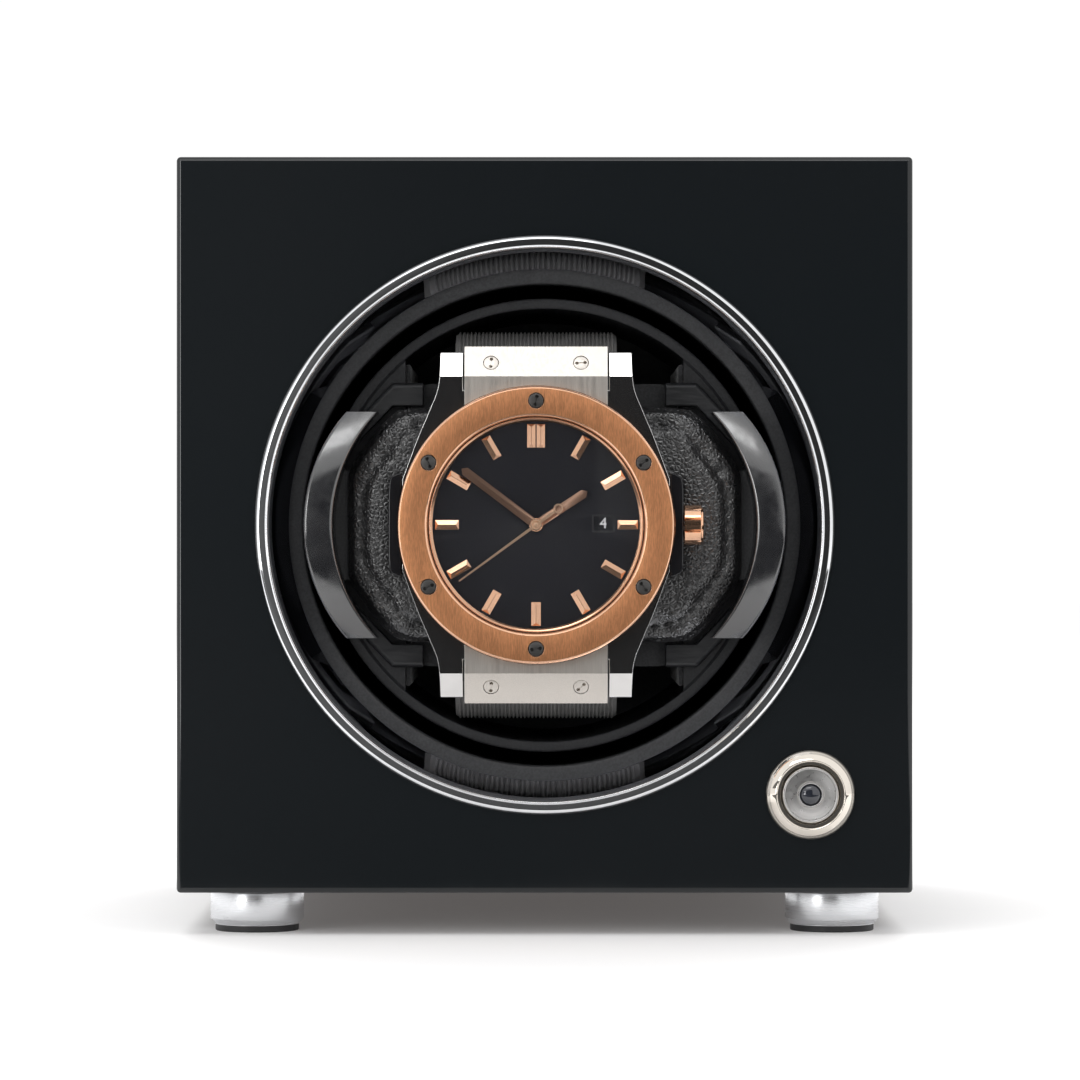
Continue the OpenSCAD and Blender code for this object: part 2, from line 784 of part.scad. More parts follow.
// Hand pointing along +x, with a tube on its pivot that reaches the movement.
module hand(near, length, width, tube_r, bore_r) {
    difference() {
        union() {
            between(near, near + 0.15) polygon([[0, -width / 2], [length - width / 2, -width / 2],
                [length, 0], [length - width / 2, width / 2], [0, width / 2]]);
            rod(near, near + 0.15, tube_r + 0.6);
            rod(near, 3.95, tube_r);
        }
        rod(near - 1, 5, bore_r);
    }
}

module watch_hour_hand() {
    color("#8a6a58") watch_frame() rotate([0, 0, 90 - 30 * hour_shown])
        hand(2.65, 9.35, 1.35, 0.85, 0.65);
}

module watch_minute_hand() {
    color("#8a6a58") watch_frame() rotate([0, 0, 90 - 6 * minute_shown])
        hand(2.35, 14.2, 1.35, 0.55, 0.35);
}

module watch_second_hand() {
    color("#d79a70") watch_frame() rotate([0, 0, 90 - 6 * second_shown]) {
        between(2.1, 2.2) polygon([[-4.4, -0.25], [14.5, -0.12], [14.5, 0.12], [-4.4, 0.25]]);
        rod(2.1, 2.2, 0.8);
        translate([-4.2, 0, 0]) rod(2.1, 2.2, 0.75);
        rod(1.95, 3.95, 0.28);
    }
}

module watch_date_disc() {
    color("#0f1012") watch_frame() difference() {
        rod(3.6, 3.8, 14.2);
        rod(3, 5, 8.2);
    }
}

module watch_movement() {
    color("#b8b2a0") watch_frame() difference() {
        union() {
            rod(4, 7.5, 15.8);
            rod(3.55, 4.1, 8.15);
            rod(7.5, 8.7, 0.95);
        }
        rod(3, 4.6, 1);
        translate([11.5, 0, -crown_depth]) rotate([0, 90, 0]) cylinder(h = 6, r = 0.87);
    }
}

module half_disc(r) {
    intersection() {
        circle(r);
        translate([0, -r]) square(2 * r, center = true);
    }
}

// Half-disc weight that hangs below its pivot, thicker at its rim.
module watch_rotor() {
    color("#c8b070") watch_frame() difference() {
        union() {
            between(7.7, 8.3) half_disc(15.4);
            between(7.7, 8.8) difference() {
                half_disc(15.4);
                circle(12.4);
            }
            rod(7.7, 8.6, 2.4);
        }
        rod(7, 9, 1);
    }
}

module watch_case_back() {
    color("#8a8c90") watch_frame() rod(9.05, 11, 17.8);
}

module watch_stem() {
    color("silver") watch_frame() translate([12, 0, -crown_depth]) rotate([0, 90, 0])
        cylinder(h = 12.4, r = 0.8);
}

module watch_crown() {
    color("#c98a5e") watch_frame() translate([22.6, 0, -crown_depth]) rotate([0, 90, 0]) difference() {
        union() {
            cylinder(h = 2.6, r = 3.05);
            translate([0, 0, 2.6]) cylinder(h = 0.4, r1 = 3.05, r2 = 2.7);
        }
        translate([0, 0, -1]) cylinder(h = 3, r = 0.85);
        for (a = [0:30:330]) rotate([0, 0, a]) translate([3.25, 0, -1]) cylinder(h = 4, r = 0.42);
    }
}

// Each centre link slopes back to its outer edge and runs up to the bezel over the case.
module watch_end_links() {
    seat = 3.28;
    color("#d9d2c4") watch_frame() difference() {
        for (m = [0, 1]) mirror([0, m, 0]) across(21.8)
            polygon([[seat, 17.9], [2.7, 17.9], [2.7, 22.6], [4.85, 27.2], [8, 27.2],
                     [8, 20.6], [seat, 20.6]]);
        rod(-1, seat, bezel_dia / 2 + 0.12);
        for (m = [0, 1], x = [-6.85, 6.85]) mirror([0, m, 0]) translate([x, 24.7, -3.6])
            rotate([-link_slope, 0, 0]) rod(-1, 1.95, 1.2);
    }
}

// Closed loop, open behind the case, with ends that reach forward to the centre links.
module watch_strap() {
    color("#1a1b1d") watch_frame() {
        across(strap_w) difference() {
            translate([32.6, 0]) rounded(53.2, 60, 14);
            translate([32.6, 0]) rounded(47.6, 54.4, 11.5);
            translate([4, 0]) square([11.2, 54.6], center = true);
        }
        for (m = [0, 1]) mirror([0, m, 0]) across(21.8) translate([8.05, 20.7]) square([2.1, 2.6]);
    }
}

module watch_clasp() {
    color("silver") watch_frame() between(59.25, 61) rounded(19, 27, 2);
}

cabinet_shell();
back_panel();
back_panel_screws();
bezel_ring();
funnel_ring();
collar();
inner_housing();
feet();
foot_pads();
foot_screws();
frame_screws();
spindle_bushes();
motor_bracket();
gearbox();
motor();
circuit_board();
board_components();
power_inlet();
inlet_nut();
wiring_loom();
switch_bezel();
switch_nut();
switch_spring();
switch_button();
switch_lens();
drum();
slot_liners();
spindle();
drum_screw();
drum_gear();
motor_pinion();
cuff_core();
cuff_wrap();
left_end_frame();
right_end_frame();
end_frame_screws();
press_springs();
cushion_plate();
cushion_pad();
left_grip();
right_grip();
watch_case();
watch_side_bumpers();
watch_bezel();
watch_screws();
watch_crystal();
watch_dial();
watch_hour_markers();
watch_hour_hand();
watch_minute_hand();
watch_second_hand();
watch_date_disc();
watch_movement();
watch_rotor();
watch_case_back();
watch_stem();
watch_crown();
watch_end_links();
watch_strap();
watch_clasp();
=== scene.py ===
import json
from math import asin, atan2, cos, degrees, pi, radians, sin, sqrt, tau

import bmesh
import bpy
import numpy as np
from mathutils import Matrix, Vector
from mathutils.bvhtree import BVHTree


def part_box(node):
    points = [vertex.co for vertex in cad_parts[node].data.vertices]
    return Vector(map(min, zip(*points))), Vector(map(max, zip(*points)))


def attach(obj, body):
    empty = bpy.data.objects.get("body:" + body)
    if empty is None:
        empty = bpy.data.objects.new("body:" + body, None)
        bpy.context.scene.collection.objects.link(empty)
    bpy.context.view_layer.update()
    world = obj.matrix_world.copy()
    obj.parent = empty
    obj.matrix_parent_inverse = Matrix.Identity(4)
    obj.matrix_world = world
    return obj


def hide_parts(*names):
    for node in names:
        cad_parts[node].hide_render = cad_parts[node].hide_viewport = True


# The looks of a single watch winder: lacquered cabinet, chrome window, drum, sprung holder and a wristwatch.
# Shapes are drawn in millimetres as (x, depth, height) from an origin on the frame; depth runs back.

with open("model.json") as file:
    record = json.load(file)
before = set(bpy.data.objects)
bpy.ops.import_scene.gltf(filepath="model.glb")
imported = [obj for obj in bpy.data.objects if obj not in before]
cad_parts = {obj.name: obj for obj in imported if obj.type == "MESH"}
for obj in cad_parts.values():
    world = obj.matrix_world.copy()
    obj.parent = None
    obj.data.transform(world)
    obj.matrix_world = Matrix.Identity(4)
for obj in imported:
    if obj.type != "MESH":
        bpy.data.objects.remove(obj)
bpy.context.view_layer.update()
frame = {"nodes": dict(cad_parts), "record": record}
MM = 0.001
NODES = frame["nodes"]
SLOTS = {part["node"]: part["material_slot"] for part in frame["record"]["subparts"]}
RING_STEPS = 192


def box_mm(node):
    """Size of a CAD node's box along x, y and z in millimetres."""
    low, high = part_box(node)
    return (high - low) / MM


def middle(node):
    low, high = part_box(node)
    return (low + high) / 2


def depth_of(node, origin):
    """Near and far depth of a CAD node from an origin, in millimetres."""
    low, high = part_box(node)
    return (low.y - origin.y) / MM, (high.y - origin.y) / MM


cabinet_low, cabinet_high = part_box("cabinet_shell")
WINDOW = Vector((0.0, cabinet_low.y, (cabinet_low.z + cabinet_high.z) / 2))
WATCH = Vector((middle("watch_bezel").x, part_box("watch_bezel")[0].y, WINDOW.z))
BUTTON = Vector((middle("switch_bezel").x, cabinet_low.y, middle("switch_bezel").z))
FLOOR = Vector((0, 0, 0))
WATCH_SIDE = (WATCH.x - WINDOW.x) / MM
BEZEL_SCREW_R = 18.83
LINK_SCREW_X = 6.85
DATE_X, DATE_Z = 10.25, 0.2
STEM_DEPTH = 6.0
LOOP_DEPTH = 32.6


# ---- shapes ----


def turn_of(angle, axis="Y"):
    """Turn of an angle in degrees round an axis, clockwise round the depth axis as seen from the front."""
    return Matrix.Rotation(radians(angle), 4, axis)


class Shape:
    """Vertices in millimetres as (x, depth, height), with faces and a material mark for each face."""

    def __init__(self, verts=(), faces=(), marks=None):
        self.verts = [Vector(v) for v in verts]
        self.faces = [tuple(f) for f in faces]
        self.marks = list(marks) if marks else [0] * len(self.faces)

    def add(self, other):
        base = len(self.verts)
        self.verts += [v.copy() for v in other.verts]
        self.faces += [tuple(i + base for i in f) for f in other.faces]
        self.marks += other.marks

    def changed(self, matrix):
        return Shape([matrix @ v for v in self.verts], self.faces, self.marks)

    def moved(self, x=0.0, depth=0.0, height=0.0):
        return self.changed(Matrix.Translation((x, depth, height)))

    def spun(self, angle):
        """Turned clockwise round the depth axis, as seen from the front."""
        return self.changed(turn_of(angle))

    def flipped(self, side=-1):
        return self.changed(Matrix.Diagonal((side, 1, 1, 1)))


def joined(shapes):
    whole = Shape()
    for s in shapes:
        whole.add(s)
    return whole


def arc(x, y, rx, ry, start, end, steps):
    """Points on an ellipse from one angle to another, in degrees."""
    turns = [radians(start + (end - start) * i / steps) for i in range(steps + 1)]
    return [(x + rx * cos(a), y + ry * sin(a)) for a in turns]


def ring_points(radius, depth, steps):
    """Points on a circle round the depth axis, clockwise from the top as seen from the front."""
    return [(radius * sin(tau * k / steps), depth, radius * cos(tau * k / steps)) for k in range(steps)]


def turned(profile, marks=None, steps=RING_STEPS):
    """Profile of (radius, depth) points turned round the depth axis; marks gives each side's material."""
    n = len(profile)
    verts = [p for r, d in profile for p in ring_points(r, d, steps)]
    faces, face_marks = [], []
    for i in range(n):
        j = (i + 1) % n
        for k in range(steps):
            m = (k + 1) % steps
            faces.append((i * steps + k, i * steps + m, j * steps + m, j * steps + k))
            face_marks.append(marks[i] if marks else 0)
    return Shape(verts, faces, face_marks)


def between(start, end):
    """Solid between two flat outlines of as many points."""
    n = len(start)
    sides = [(i, (i + 1) % n, n + (i + 1) % n, n + i) for i in range(n)]
    return Shape(start + end, [tuple(range(n - 1, -1, -1)), tuple(range(n, 2 * n))] + sides)


def prism(outline, near, far):
    """Outline of (x, height) points between two depths."""
    return between([(x, near, h) for x, h in outline], [(x, far, h) for x, h in outline])


def across(outline, x_low, x_high):
    """Outline of (depth, height) points between two widths."""
    return between([(x_low, d, h) for d, h in outline], [(x_high, d, h) for d, h in outline])


def loft(rings, loop=False):
    """Skin over rings of points; the ends are closed unless the rings form a loop."""
    n, count = len(rings[0]), len(rings)
    verts = [p for ring in rings for p in ring]
    faces = []
    for i in range(count if loop else count - 1):
        j = (i + 1) % count
        faces += [(i * n + k, i * n + (k + 1) % n, j * n + (k + 1) % n, j * n + k) for k in range(n)]
    if not loop:
        faces += [tuple(range(n - 1, -1, -1)), tuple((count - 1) * n + k for k in range(n))]
    return Shape(verts, faces)


def filleted(points, radius, steps=6):
    """Outline whose corners are rounded to a radius."""
    out = []
    for i, point in enumerate(points):
        p = Vector(point)
        to_last = (Vector(points[i - 1]) - p).normalized()
        to_next = (Vector(points[(i + 1) % len(points)]) - p).normalized()
        half = to_last.angle(to_next) / 2
        reach = radius / np.tan(half)
        centre = p + (to_last + to_next).normalized() * (radius / sin(half))
        a, b = p + to_last * reach - centre, p + to_next * reach - centre
        sweep = atan2(a.x * b.y - a.y * b.x, a.dot(b))
        for k in range(steps + 1):
            t = sweep * k / steps
            out.append((centre.x + a.x * cos(t) - a.y * sin(t), centre.y + a.x * sin(t) + a.y * cos(t)))
    return out


def rectangle(width, height, radius=0.0, x=0.0, y=0.0, steps=6):
    w, h = width / 2, height / 2
    points = [(x - w, y - h), (x + w, y - h), (x + w, y + h), (x - w, y + h)]
    return filleted(points, radius, steps) if radius else points


def circle(radius, steps):
    return [(radius * cos(tau * k / steps), radius * sin(tau * k / steps)) for k in range(steps)]


def rod(radius, near, far, steps=48, edge=0.0):
    """Solid cylinder along the depth axis with small rounded rims."""
    if not edge:
        return prism(circle(radius, steps), near, far)
    rims = [(radius - edge, near), (radius, near + edge), (radius, far - edge), (radius - edge, far)]
    return loft([ring_points(r, d, steps) for r, d in rims])


def smooth_curve(points, steps):
    """Catmull-Rom curve through points, ends included."""
    pts = [Vector(p) for p in points]
    out = []
    for i in range(len(pts) - 1):
        a, b, c, d = pts[max(i - 1, 0)], pts[i], pts[i + 1], pts[min(i + 2, len(pts) - 1)]
        for k in range(steps):
            t = k / steps
            out.append(tuple(0.5 * (2 * b + (c - a) * t + (2 * a - 5 * b + 4 * c - d) * t * t
                                    + (3 * b - a - 3 * c + d) * t ** 3)))
    return out + [tuple(pts[-1])]


# ---- pieces ----


def mesh_of(name, shape, origin):
    bm = bmesh.new()
    verts = [bm.verts.new(origin + v * MM) for v in shape.verts]
    for f, mark in zip(shape.faces, shape.marks):
        bm.faces.new([verts[i] for i in f]).material_index = mark
    bmesh.ops.remove_doubles(bm, verts=bm.verts, dist=1e-7)
    bmesh.ops.dissolve_degenerate(bm, dist=1e-8, edges=bm.edges)
    bmesh.ops.recalc_face_normals(bm, faces=bm.faces)
    mesh = bpy.data.meshes.new(name)
    bm.to_mesh(mesh)
    bm.free()
    return mesh


def new_object(name, shape, origin):
    obj = bpy.data.objects.new(name, mesh_of(name, shape, origin))
    bpy.context.scene.collection.objects.link(obj)
    return obj


def settle(obj):
    """Turns the object's modifiers into its mesh."""
    bpy.context.view_layer.update()
    seen = obj.evaluated_get(bpy.context.evaluated_depsgraph_get())
    mesh = bpy.data.meshes.new_from_object(seen)
    obj.modifiers.clear()
    obj.data = mesh


def taken(obj):
    """An object's mesh as a shape from the frame's origin; the object goes."""
    shape = Shape([v.co / MM for v in obj.data.vertices], [p.vertices[:] for p in obj.data.polygons])
    bpy.data.objects.remove(obj)
    return shape


def cut(obj, shape, origin):
    """Takes a shape out of an object."""
    tool = new_object("cutter", shape, origin)
    boolean = obj.modifiers.new("cut", "BOOLEAN")
    boolean.object = tool
    boolean.solver = "EXACT"
    settle(obj)
    bpy.data.objects.remove(tool)


def rounded_edges(obj, width, segments=3, angle=35, polished=None, weighted=False):
    """Rounds the sharp edges, by a width in millimetres; polished is the material mark of the new faces."""
    bevel = obj.modifiers.new("edges", "BEVEL")
    bevel.width = width * MM
    bevel.segments = segments
    bevel.limit_method = "WEIGHT" if weighted else "ANGLE"
    bevel.angle_limit = radians(angle)
    bevel.harden_normals = True
    bevel.use_clamp_overlap = True
    if polished is not None:
        bevel.material = polished


def weigh_edges(obj, weight_at):
    """Sets each edge's rounding from its middle point in the world."""
    weights = obj.data.attributes.new("bevel_weight_edge", "FLOAT", "EDGE")
    for edge in obj.data.edges:
        a, b = (obj.data.vertices[i].co for i in edge.vertices)
        weights.data[edge.index].value = weight_at((a + b) / 2)


def smooth(obj, angle=35):
    obj.data.shade_smooth()
    obj.data.set_sharp_from_angle(angle=radians(angle))


def dress(obj, body, slot, replaced=None, finishes=None):
    """Puts a piece on its body, hides the CAD node it replaces and gives it its finishes; without finishes,
    the finish named by the slot.
    """
    marks = [p.material_index for p in obj.data.polygons]
    obj.data.materials.clear()
    for finish in finishes or (slot,):
        obj.data.materials.append(FINISH[finish])
    obj.data.polygons.foreach_set("material_index", marks)
    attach(obj, body)
    if replaced:
        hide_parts(replaced)


def piece(name, shape, origin, body, slot, replaced=None, finishes=None, cuts=(), edge=0.0, segments=3,
          edge_angle=35, polished=None, angle=35):
    """Piece with its cuts made, its edges rounded and its looks put on."""
    obj = new_object(name, shape, origin)
    for tool in cuts:
        cut(obj, tool, origin)
    if edge:
        rounded_edges(obj, edge, segments, edge_angle, polished)
    smooth(obj, angle)
    dress(obj, body, slot, replaced, finishes)


# ---- materials ----


class Finish:
    """A Principled material with texture coordinates in metres, so that patterns keep their real size."""

    def __init__(self, name, color, metallic=0.0, roughness=0.5, **sockets):
        self.material = bpy.data.materials.new(name)
        self.material.use_nodes = True
        self.nodes = self.material.node_tree.nodes
        self.links = self.material.node_tree.links
        self.shader = self.nodes["Principled BSDF"]
        self.color = (*color, 1.0)
        self.roughness = roughness
        self.shader.inputs["Base Color"].default_value = self.color
        self.shader.inputs["Metallic"].default_value = metallic
        self.shader.inputs["Roughness"].default_value = roughness
        for socket, value in sockets.items():
            self.shader.inputs[socket.replace("_", " ")].default_value = value
        self.place = self.nodes.new("ShaderNodeTexCoord").outputs["Object"]
        self.height = None

    def node(self, kind, **values):
        made = self.nodes.new(kind)
        for key, value in values.items():
            setattr(made, key, value)
        return made

    def stretched(self, scale, origin=(0, 0, 0)):
        mapping = self.node("ShaderNodeMapping")
        mapping.inputs["Scale"].default_value = scale
        mapping.inputs["Location"].default_value = [-s * o for s, o in zip(scale, origin)]
        self.links.new(self.place, mapping.inputs["Vector"])
        return mapping.outputs["Vector"]

    def noise(self, scale, detail=3.0, roughness=0.5, vector=None):
        tex = self.node("ShaderNodeTexNoise")
        tex.inputs["Scale"].default_value = scale
        tex.inputs["Detail"].default_value = detail
        tex.inputs["Roughness"].default_value = roughness
        self.links.new(vector or self.place, tex.inputs["Vector"])
        return tex.outputs["Fac"]

    def cells(self, scale, crease=0.12):
        """Pebbles with creases between them."""
        tex = self.node("ShaderNodeTexVoronoi", feature="DISTANCE_TO_EDGE")
        tex.inputs["Scale"].default_value = scale
        self.links.new(self.place, tex.inputs["Vector"])
        return self.ranged(tex.outputs["Distance"], 0.0, crease, 0.0, 1.0)

    def ranged(self, value, low, high, to_low, to_high):
        node = self.node("ShaderNodeMapRange", interpolation_type="SMOOTHSTEP")
        for key, number in zip(("From Min", "From Max", "To Min", "To Max"), (low, high, to_low, to_high)):
            node.inputs[key].default_value = number
        self.links.new(value, node.inputs["Value"])
        return node.outputs["Result"]

    def bump(self, value, depth_mm):
        """Adds relief of a depth in millimetres."""
        node = self.node("ShaderNodeBump")
        node.inputs["Distance"].default_value = depth_mm * MM
        node.inputs["Strength"].default_value = 1.0
        self.links.new(value, node.inputs["Height"])
        if self.height:
            self.links.new(self.height, node.inputs["Normal"])
        self.height = node.outputs["Normal"]
        self.links.new(self.height, self.shader.inputs["Normal"])

    def gloss(self, value, spread):
        """Varies the roughness by a spread round its own value."""
        low, high = max(self.roughness - spread, 0.01), self.roughness + spread
        self.links.new(self.ranged(value, 0.3, 0.7, low, high), self.shader.inputs["Roughness"])

    def tint(self, value, other):
        """Mixes another colour in where the value is high."""
        mix = self.node("ShaderNodeMix", data_type="RGBA")
        mix.inputs["A"].default_value = self.color
        mix.inputs["B"].default_value = (*other, 1.0)
        self.links.new(self.ranged(value, 0.35, 0.65, 0.0, 1.0), mix.inputs["Factor"])
        self.links.new(mix.outputs["Result"], self.shader.inputs["Base Color"])


def shade_of(color, factor):
    return tuple(c * factor for c in color)


def lacquer():
    f = Finish("lacquer", (0.0058, 0.0074, 0.0086), roughness=0.06)
    f.bump(f.noise(90, 2), 0.0006)
    f.gloss(f.noise(60, 4), 0.012)
    f.tint(f.noise(18, 3), (0.0064, 0.0078, 0.0089))
    return f.material


def polished_metal(name, color, roughness=0.06, wear=0.02):
    f = Finish(name, color, 1.0, roughness)
    f.gloss(f.noise(700, 5, 0.6), wear)
    f.tint(f.noise(260, 3), shade_of(color, 0.94))
    f.bump(f.noise(90, 2), 0.0015)
    return f.material


def brushed_metal(name, color, roughness, along="z", pitch=0.09, depth=0.006, shade=0.75, stretch=40,
                  patchy=0.03):
    """Metal with fine lines along the named axes, a pitch in millimetres apart."""
    f = Finish(name, color, 1.0, roughness)
    fine, long = 1000 / pitch, 1000 / (pitch * stretch)
    scale = [long if axis in along else fine for axis in "xyz"]
    lines = f.noise(1, 4, 0.65, f.stretched(scale))
    broad = f.noise(1, 2, 0.5, f.stretched(tuple(s / 5 for s in scale)))
    f.bump(lines, depth)
    f.gloss(broad, patchy)
    f.tint(lines, shade_of(color, shade))
    return f.material


def turned_metal(name, color, roughness, origin):
    """Metal with concentric lathe lines round the depth axis through an origin."""
    f = Finish(name, color, 1.0, roughness)
    pitch_mm = 0.16
    wave = f.node("ShaderNodeTexWave", wave_type="RINGS", rings_direction="Y")
    wave.inputs["Scale"].default_value = 1.0 / (pitch_mm * MM * 20)
    wave.inputs["Distortion"].default_value = 0.4
    wave.inputs["Detail"].default_value = 2
    f.links.new(f.stretched((1, 1, 1), origin), wave.inputs["Vector"])
    f.bump(wave.outputs["Fac"], 0.0012)
    f.gloss(f.noise(1500, 3), 0.03)
    f.tint(wave.outputs["Fac"], shade_of(color, 0.93))
    return f.material


def moulded(name, color, roughness, grain=0.25, depth=0.012, lighter=1.5, shine=0.5):
    """Plastic or paint with a fine sparked texture, its grain in millimetres."""
    f = Finish(name, color, roughness=roughness, Specular_IOR_Level=shine)
    f.bump(f.noise(1000 / grain, 4, 0.7), depth)
    f.gloss(f.noise(400, 3), 0.06)
    f.tint(f.noise(900 / grain, 3), shade_of(color, lighter))
    return f.material


def leather():
    f = Finish("leather", (0.014, 0.014, 0.0148), roughness=0.33, Specular_IOR_Level=1.3)
    f.bump(f.noise(160, 3), 0.06)
    f.bump(f.cells(1500, 0.35), 0.10)
    f.gloss(f.noise(900, 3), 0.06)
    f.tint(f.noise(420, 4), (0.019, 0.0187, 0.0195))
    return f.material


def thread():
    f = Finish("thread", (0.007, 0.007, 0.0075), roughness=0.6, Sheen_Weight=0.2)
    f.bump(f.noise(1, 2, 0.5, f.stretched((9000, 9000, 3500))), 0.03)
    f.gloss(f.noise(3000, 2), 0.08)
    f.tint(f.noise(5000, 2), (0.012, 0.012, 0.013))
    return f.material


def felt():
    f = Finish("felt", (0.022, 0.022, 0.024), roughness=0.95, Sheen_Weight=0.35)
    f.bump(f.noise(4200, 5, 0.75), 0.09)
    f.tint(f.noise(2600, 5, 0.7), (0.055, 0.055, 0.058))
    return f.material


def rubber(name, color=(0.012, 0.012, 0.013), roughness=0.55, lighter=1.5):
    f = Finish(name, color, roughness=roughness)
    f.bump(f.noise(3600, 4, 0.6), 0.010)
    f.gloss(f.noise(500, 3), 0.07)
    f.tint(f.noise(240, 4), shade_of(color, lighter))
    return f.material


def crystal():
    f = Finish("crystal", (0.01, 0.01, 0.014), roughness=0.02, Alpha=0.08, IOR=1.76)
    f.gloss(f.noise(300, 2), 0.008)
    return f.material


def sunray():
    """Dial lacquer over a brushing that runs out from the middle."""
    f = Finish("dial_black", (0.0130, 0.0134, 0.0162), 0.0, 0.30, Specular_IOR_Level=0.35)
    split = f.node("ShaderNodeSeparateXYZ")
    f.links.new(f.stretched((1, 1, 1), WATCH), split.inputs["Vector"])
    angle = f.node("ShaderNodeMath", operation="ARCTAN2")
    f.links.new(split.outputs["X"], angle.inputs[0])
    f.links.new(split.outputs["Z"], angle.inputs[1])
    rays = f.node("ShaderNodeTexNoise", noise_dimensions="1D")
    rays.inputs["Scale"].default_value = 60
    rays.inputs["Detail"].default_value = 4
    f.links.new(angle.outputs["Value"], rays.inputs["W"])
    f.gloss(rays.outputs["Fac"], 0.02)
    f.tint(rays.outputs["Fac"], (0.0139, 0.0143, 0.0171))
    f.bump(f.noise(9000, 2), 0.0008)
    return f.material


def board_green():
    f = Finish("circuit_board", (0.02, 0.12, 0.06), roughness=0.3)
    f.bump(f.noise(700, 3), 0.01)
    f.tint(f.cells(350, 0.4), (0.03, 0.19, 0.10))
    return f.material


def insulation():
    f = Finish("wire", (0.35, 0.02, 0.02), roughness=0.45)
    f.bump(f.noise(1500, 3), 0.01)
    f.tint(f.noise(300, 3), (0.28, 0.015, 0.015))
    return f.material


def black_plastic(name, color, roughness):
    """Glossy moulded black with faint ripples and hairline scuffs."""
    f = Finish(name, color, roughness=roughness)
    f.bump(f.noise(110, 2), 0.004)
    f.gloss(f.noise(1, 4, 0.7, f.stretched((900, 900, 120))), 0.02)
    f.tint(f.noise(200, 3), shade_of(color, 1.4))
    return f.material


def frame_marks():
    """Moulded black with fine sideways marks from the tool."""
    f = Finish("frame_black", (0.013, 0.0135, 0.015), roughness=0.40)
    lines = f.noise(1, 4, 0.65, f.stretched((350, 3500, 3500)))
    f.bump(lines, 0.02)
    f.gloss(lines, 0.08)
    f.tint(lines, (0.022, 0.0225, 0.024))
    return f.material


def lens_glass():
    f = Finish("lens", (0.012, 0.014, 0.020), roughness=0.06, Coat_Weight=1.0, Coat_Roughness=0.02)
    f.tint(f.noise(900, 2), (0.02, 0.022, 0.03))
    f.bump(f.noise(500, 2), 0.003)
    return f.material


def white_print():
    f = Finish("white_print", (0.75, 0.76, 0.78), roughness=0.5)
    f.bump(f.noise(9000, 2), 0.004)
    f.tint(f.noise(3000, 2), (0.68, 0.69, 0.71))
    return f.material


FINISH = {
    "lacquer": lacquer(),
    "chrome": polished_metal("chrome", (0.86, 0.87, 0.89), 0.05),
    "polished_black": black_plastic("polished_black", (0.006, 0.006, 0.007), 0.05),
    "matte_black": moulded("matte_black", (0.019, 0.0195, 0.021), 0.5, 0.3, 0.03, 1.6),
    "back_panel": moulded("back_panel", (0.020, 0.020, 0.022), 0.6, 0.6, 0.05),
    "drum_black": moulded("drum_black", (0.021, 0.0215, 0.0235), 0.40, 0.35, 0.015),
    "frame_black": frame_marks(),
    "satin_black": moulded("satin_black", (0.007, 0.0074, 0.009), 0.19, 0.35, 0.0012, 1.2, 1.8),
    "components": moulded("components", (0.03, 0.03, 0.035), 0.5),
    "gear_plastic": moulded("gear_plastic", (0.72, 0.69, 0.61), 0.4, 0.4, 0.006, 0.92),
    "aluminium": brushed_metal("aluminium", (0.80, 0.81, 0.83), 0.27, "xy", 0.12, 0.0002, 0.97, 60, 0.01),
    "steel": brushed_metal("steel", (0.60, 0.60, 0.61), 0.32, "y"),
    "dark_steel": polished_metal("dark_steel", (0.05, 0.05, 0.055), 0.3),
    "brass": brushed_metal("brass", (0.72, 0.53, 0.28), 0.3, "x", 0.2),
    "nickel": polished_metal("nickel", (0.84, 0.78, 0.70), 0.045),
    "satin_steel": turned_metal("satin_steel", (0.60, 0.59, 0.58), 0.30, BUTTON),
    "circuit_board": board_green(),
    "wire": insulation(),
    "rubber": rubber("rubber"),
    # The strap's rubber is far lighter than the black rubber of the feet: painted light, standing in for the
    # light that barely reaches the strap inside the drum
    "strap_rubber": rubber("strap_rubber", (0.14, 0.137, 0.134), 0.36, 1.07),
    "leather": leather(),
    "thread": thread(),
    "felt": felt(),
    "rose_gold": brushed_metal("rose_gold", (0.79, 0.36, 0.17), 0.50, "z", 0.13, 0.005, 0.76, 9, 0.03),
    "polished_gold": polished_metal("polished_gold", (0.92, 0.55, 0.36), 0.16),
    "hand_gold": brushed_metal("hand_gold", (0.50, 0.31, 0.22), 0.34, "x", 0.07, 0.0006, 0.97, 12, 0.01),
    "needle_gold": polished_metal("needle_gold", (0.95, 0.66, 0.46), 0.42, 0.05),
    "case_steel": brushed_metal("case_steel", (0.13, 0.128, 0.128), 0.26, "z", 0.08, 0.0008, 0.96, 10, 0.01),
    "polished_steel": polished_metal("polished_steel", (0.80, 0.79, 0.78), 0.07),
    "grey_steel": brushed_metal("grey_steel", (0.17, 0.165, 0.16), 0.42, "x", 0.12, 0.002, 0.8),
    "link_steel": brushed_metal("link_steel", (0.77, 0.725, 0.67), 0.42, "z", 0.07, 0.004, 0.88, 60),
    "chrome_wall": polished_metal("chrome_wall", (0.86, 0.87, 0.92), 0.03, 0.01),
    "crystal": crystal(),
    "lens": lens_glass(),
    "white_print": white_print(),
    "dial_black": sunray(),
}


# ---- stage ----


def flat_corners(half_width, near_y, far_y, height):
    """Corners of a level sheet, centred across."""
    left, right = -half_width, half_width
    return [(left, near_y, height), (right, near_y, height), (right, far_y, height), (left, far_y, height)]


def stage_sheet(name, corners, material, glossy_only=False):
    mesh = bpy.data.meshes.new(name)
    mesh.from_pydata(corners, [], [(0, 1, 2, 3)])
    mesh.materials.append(material)
    sheet = bpy.data.objects.new(name, mesh)
    bpy.context.scene.collection.objects.link(sheet)
    if glossy_only:
        sheet.visible_camera = sheet.visible_shadow = False
        sheet.visible_diffuse = sheet.visible_transmission = False


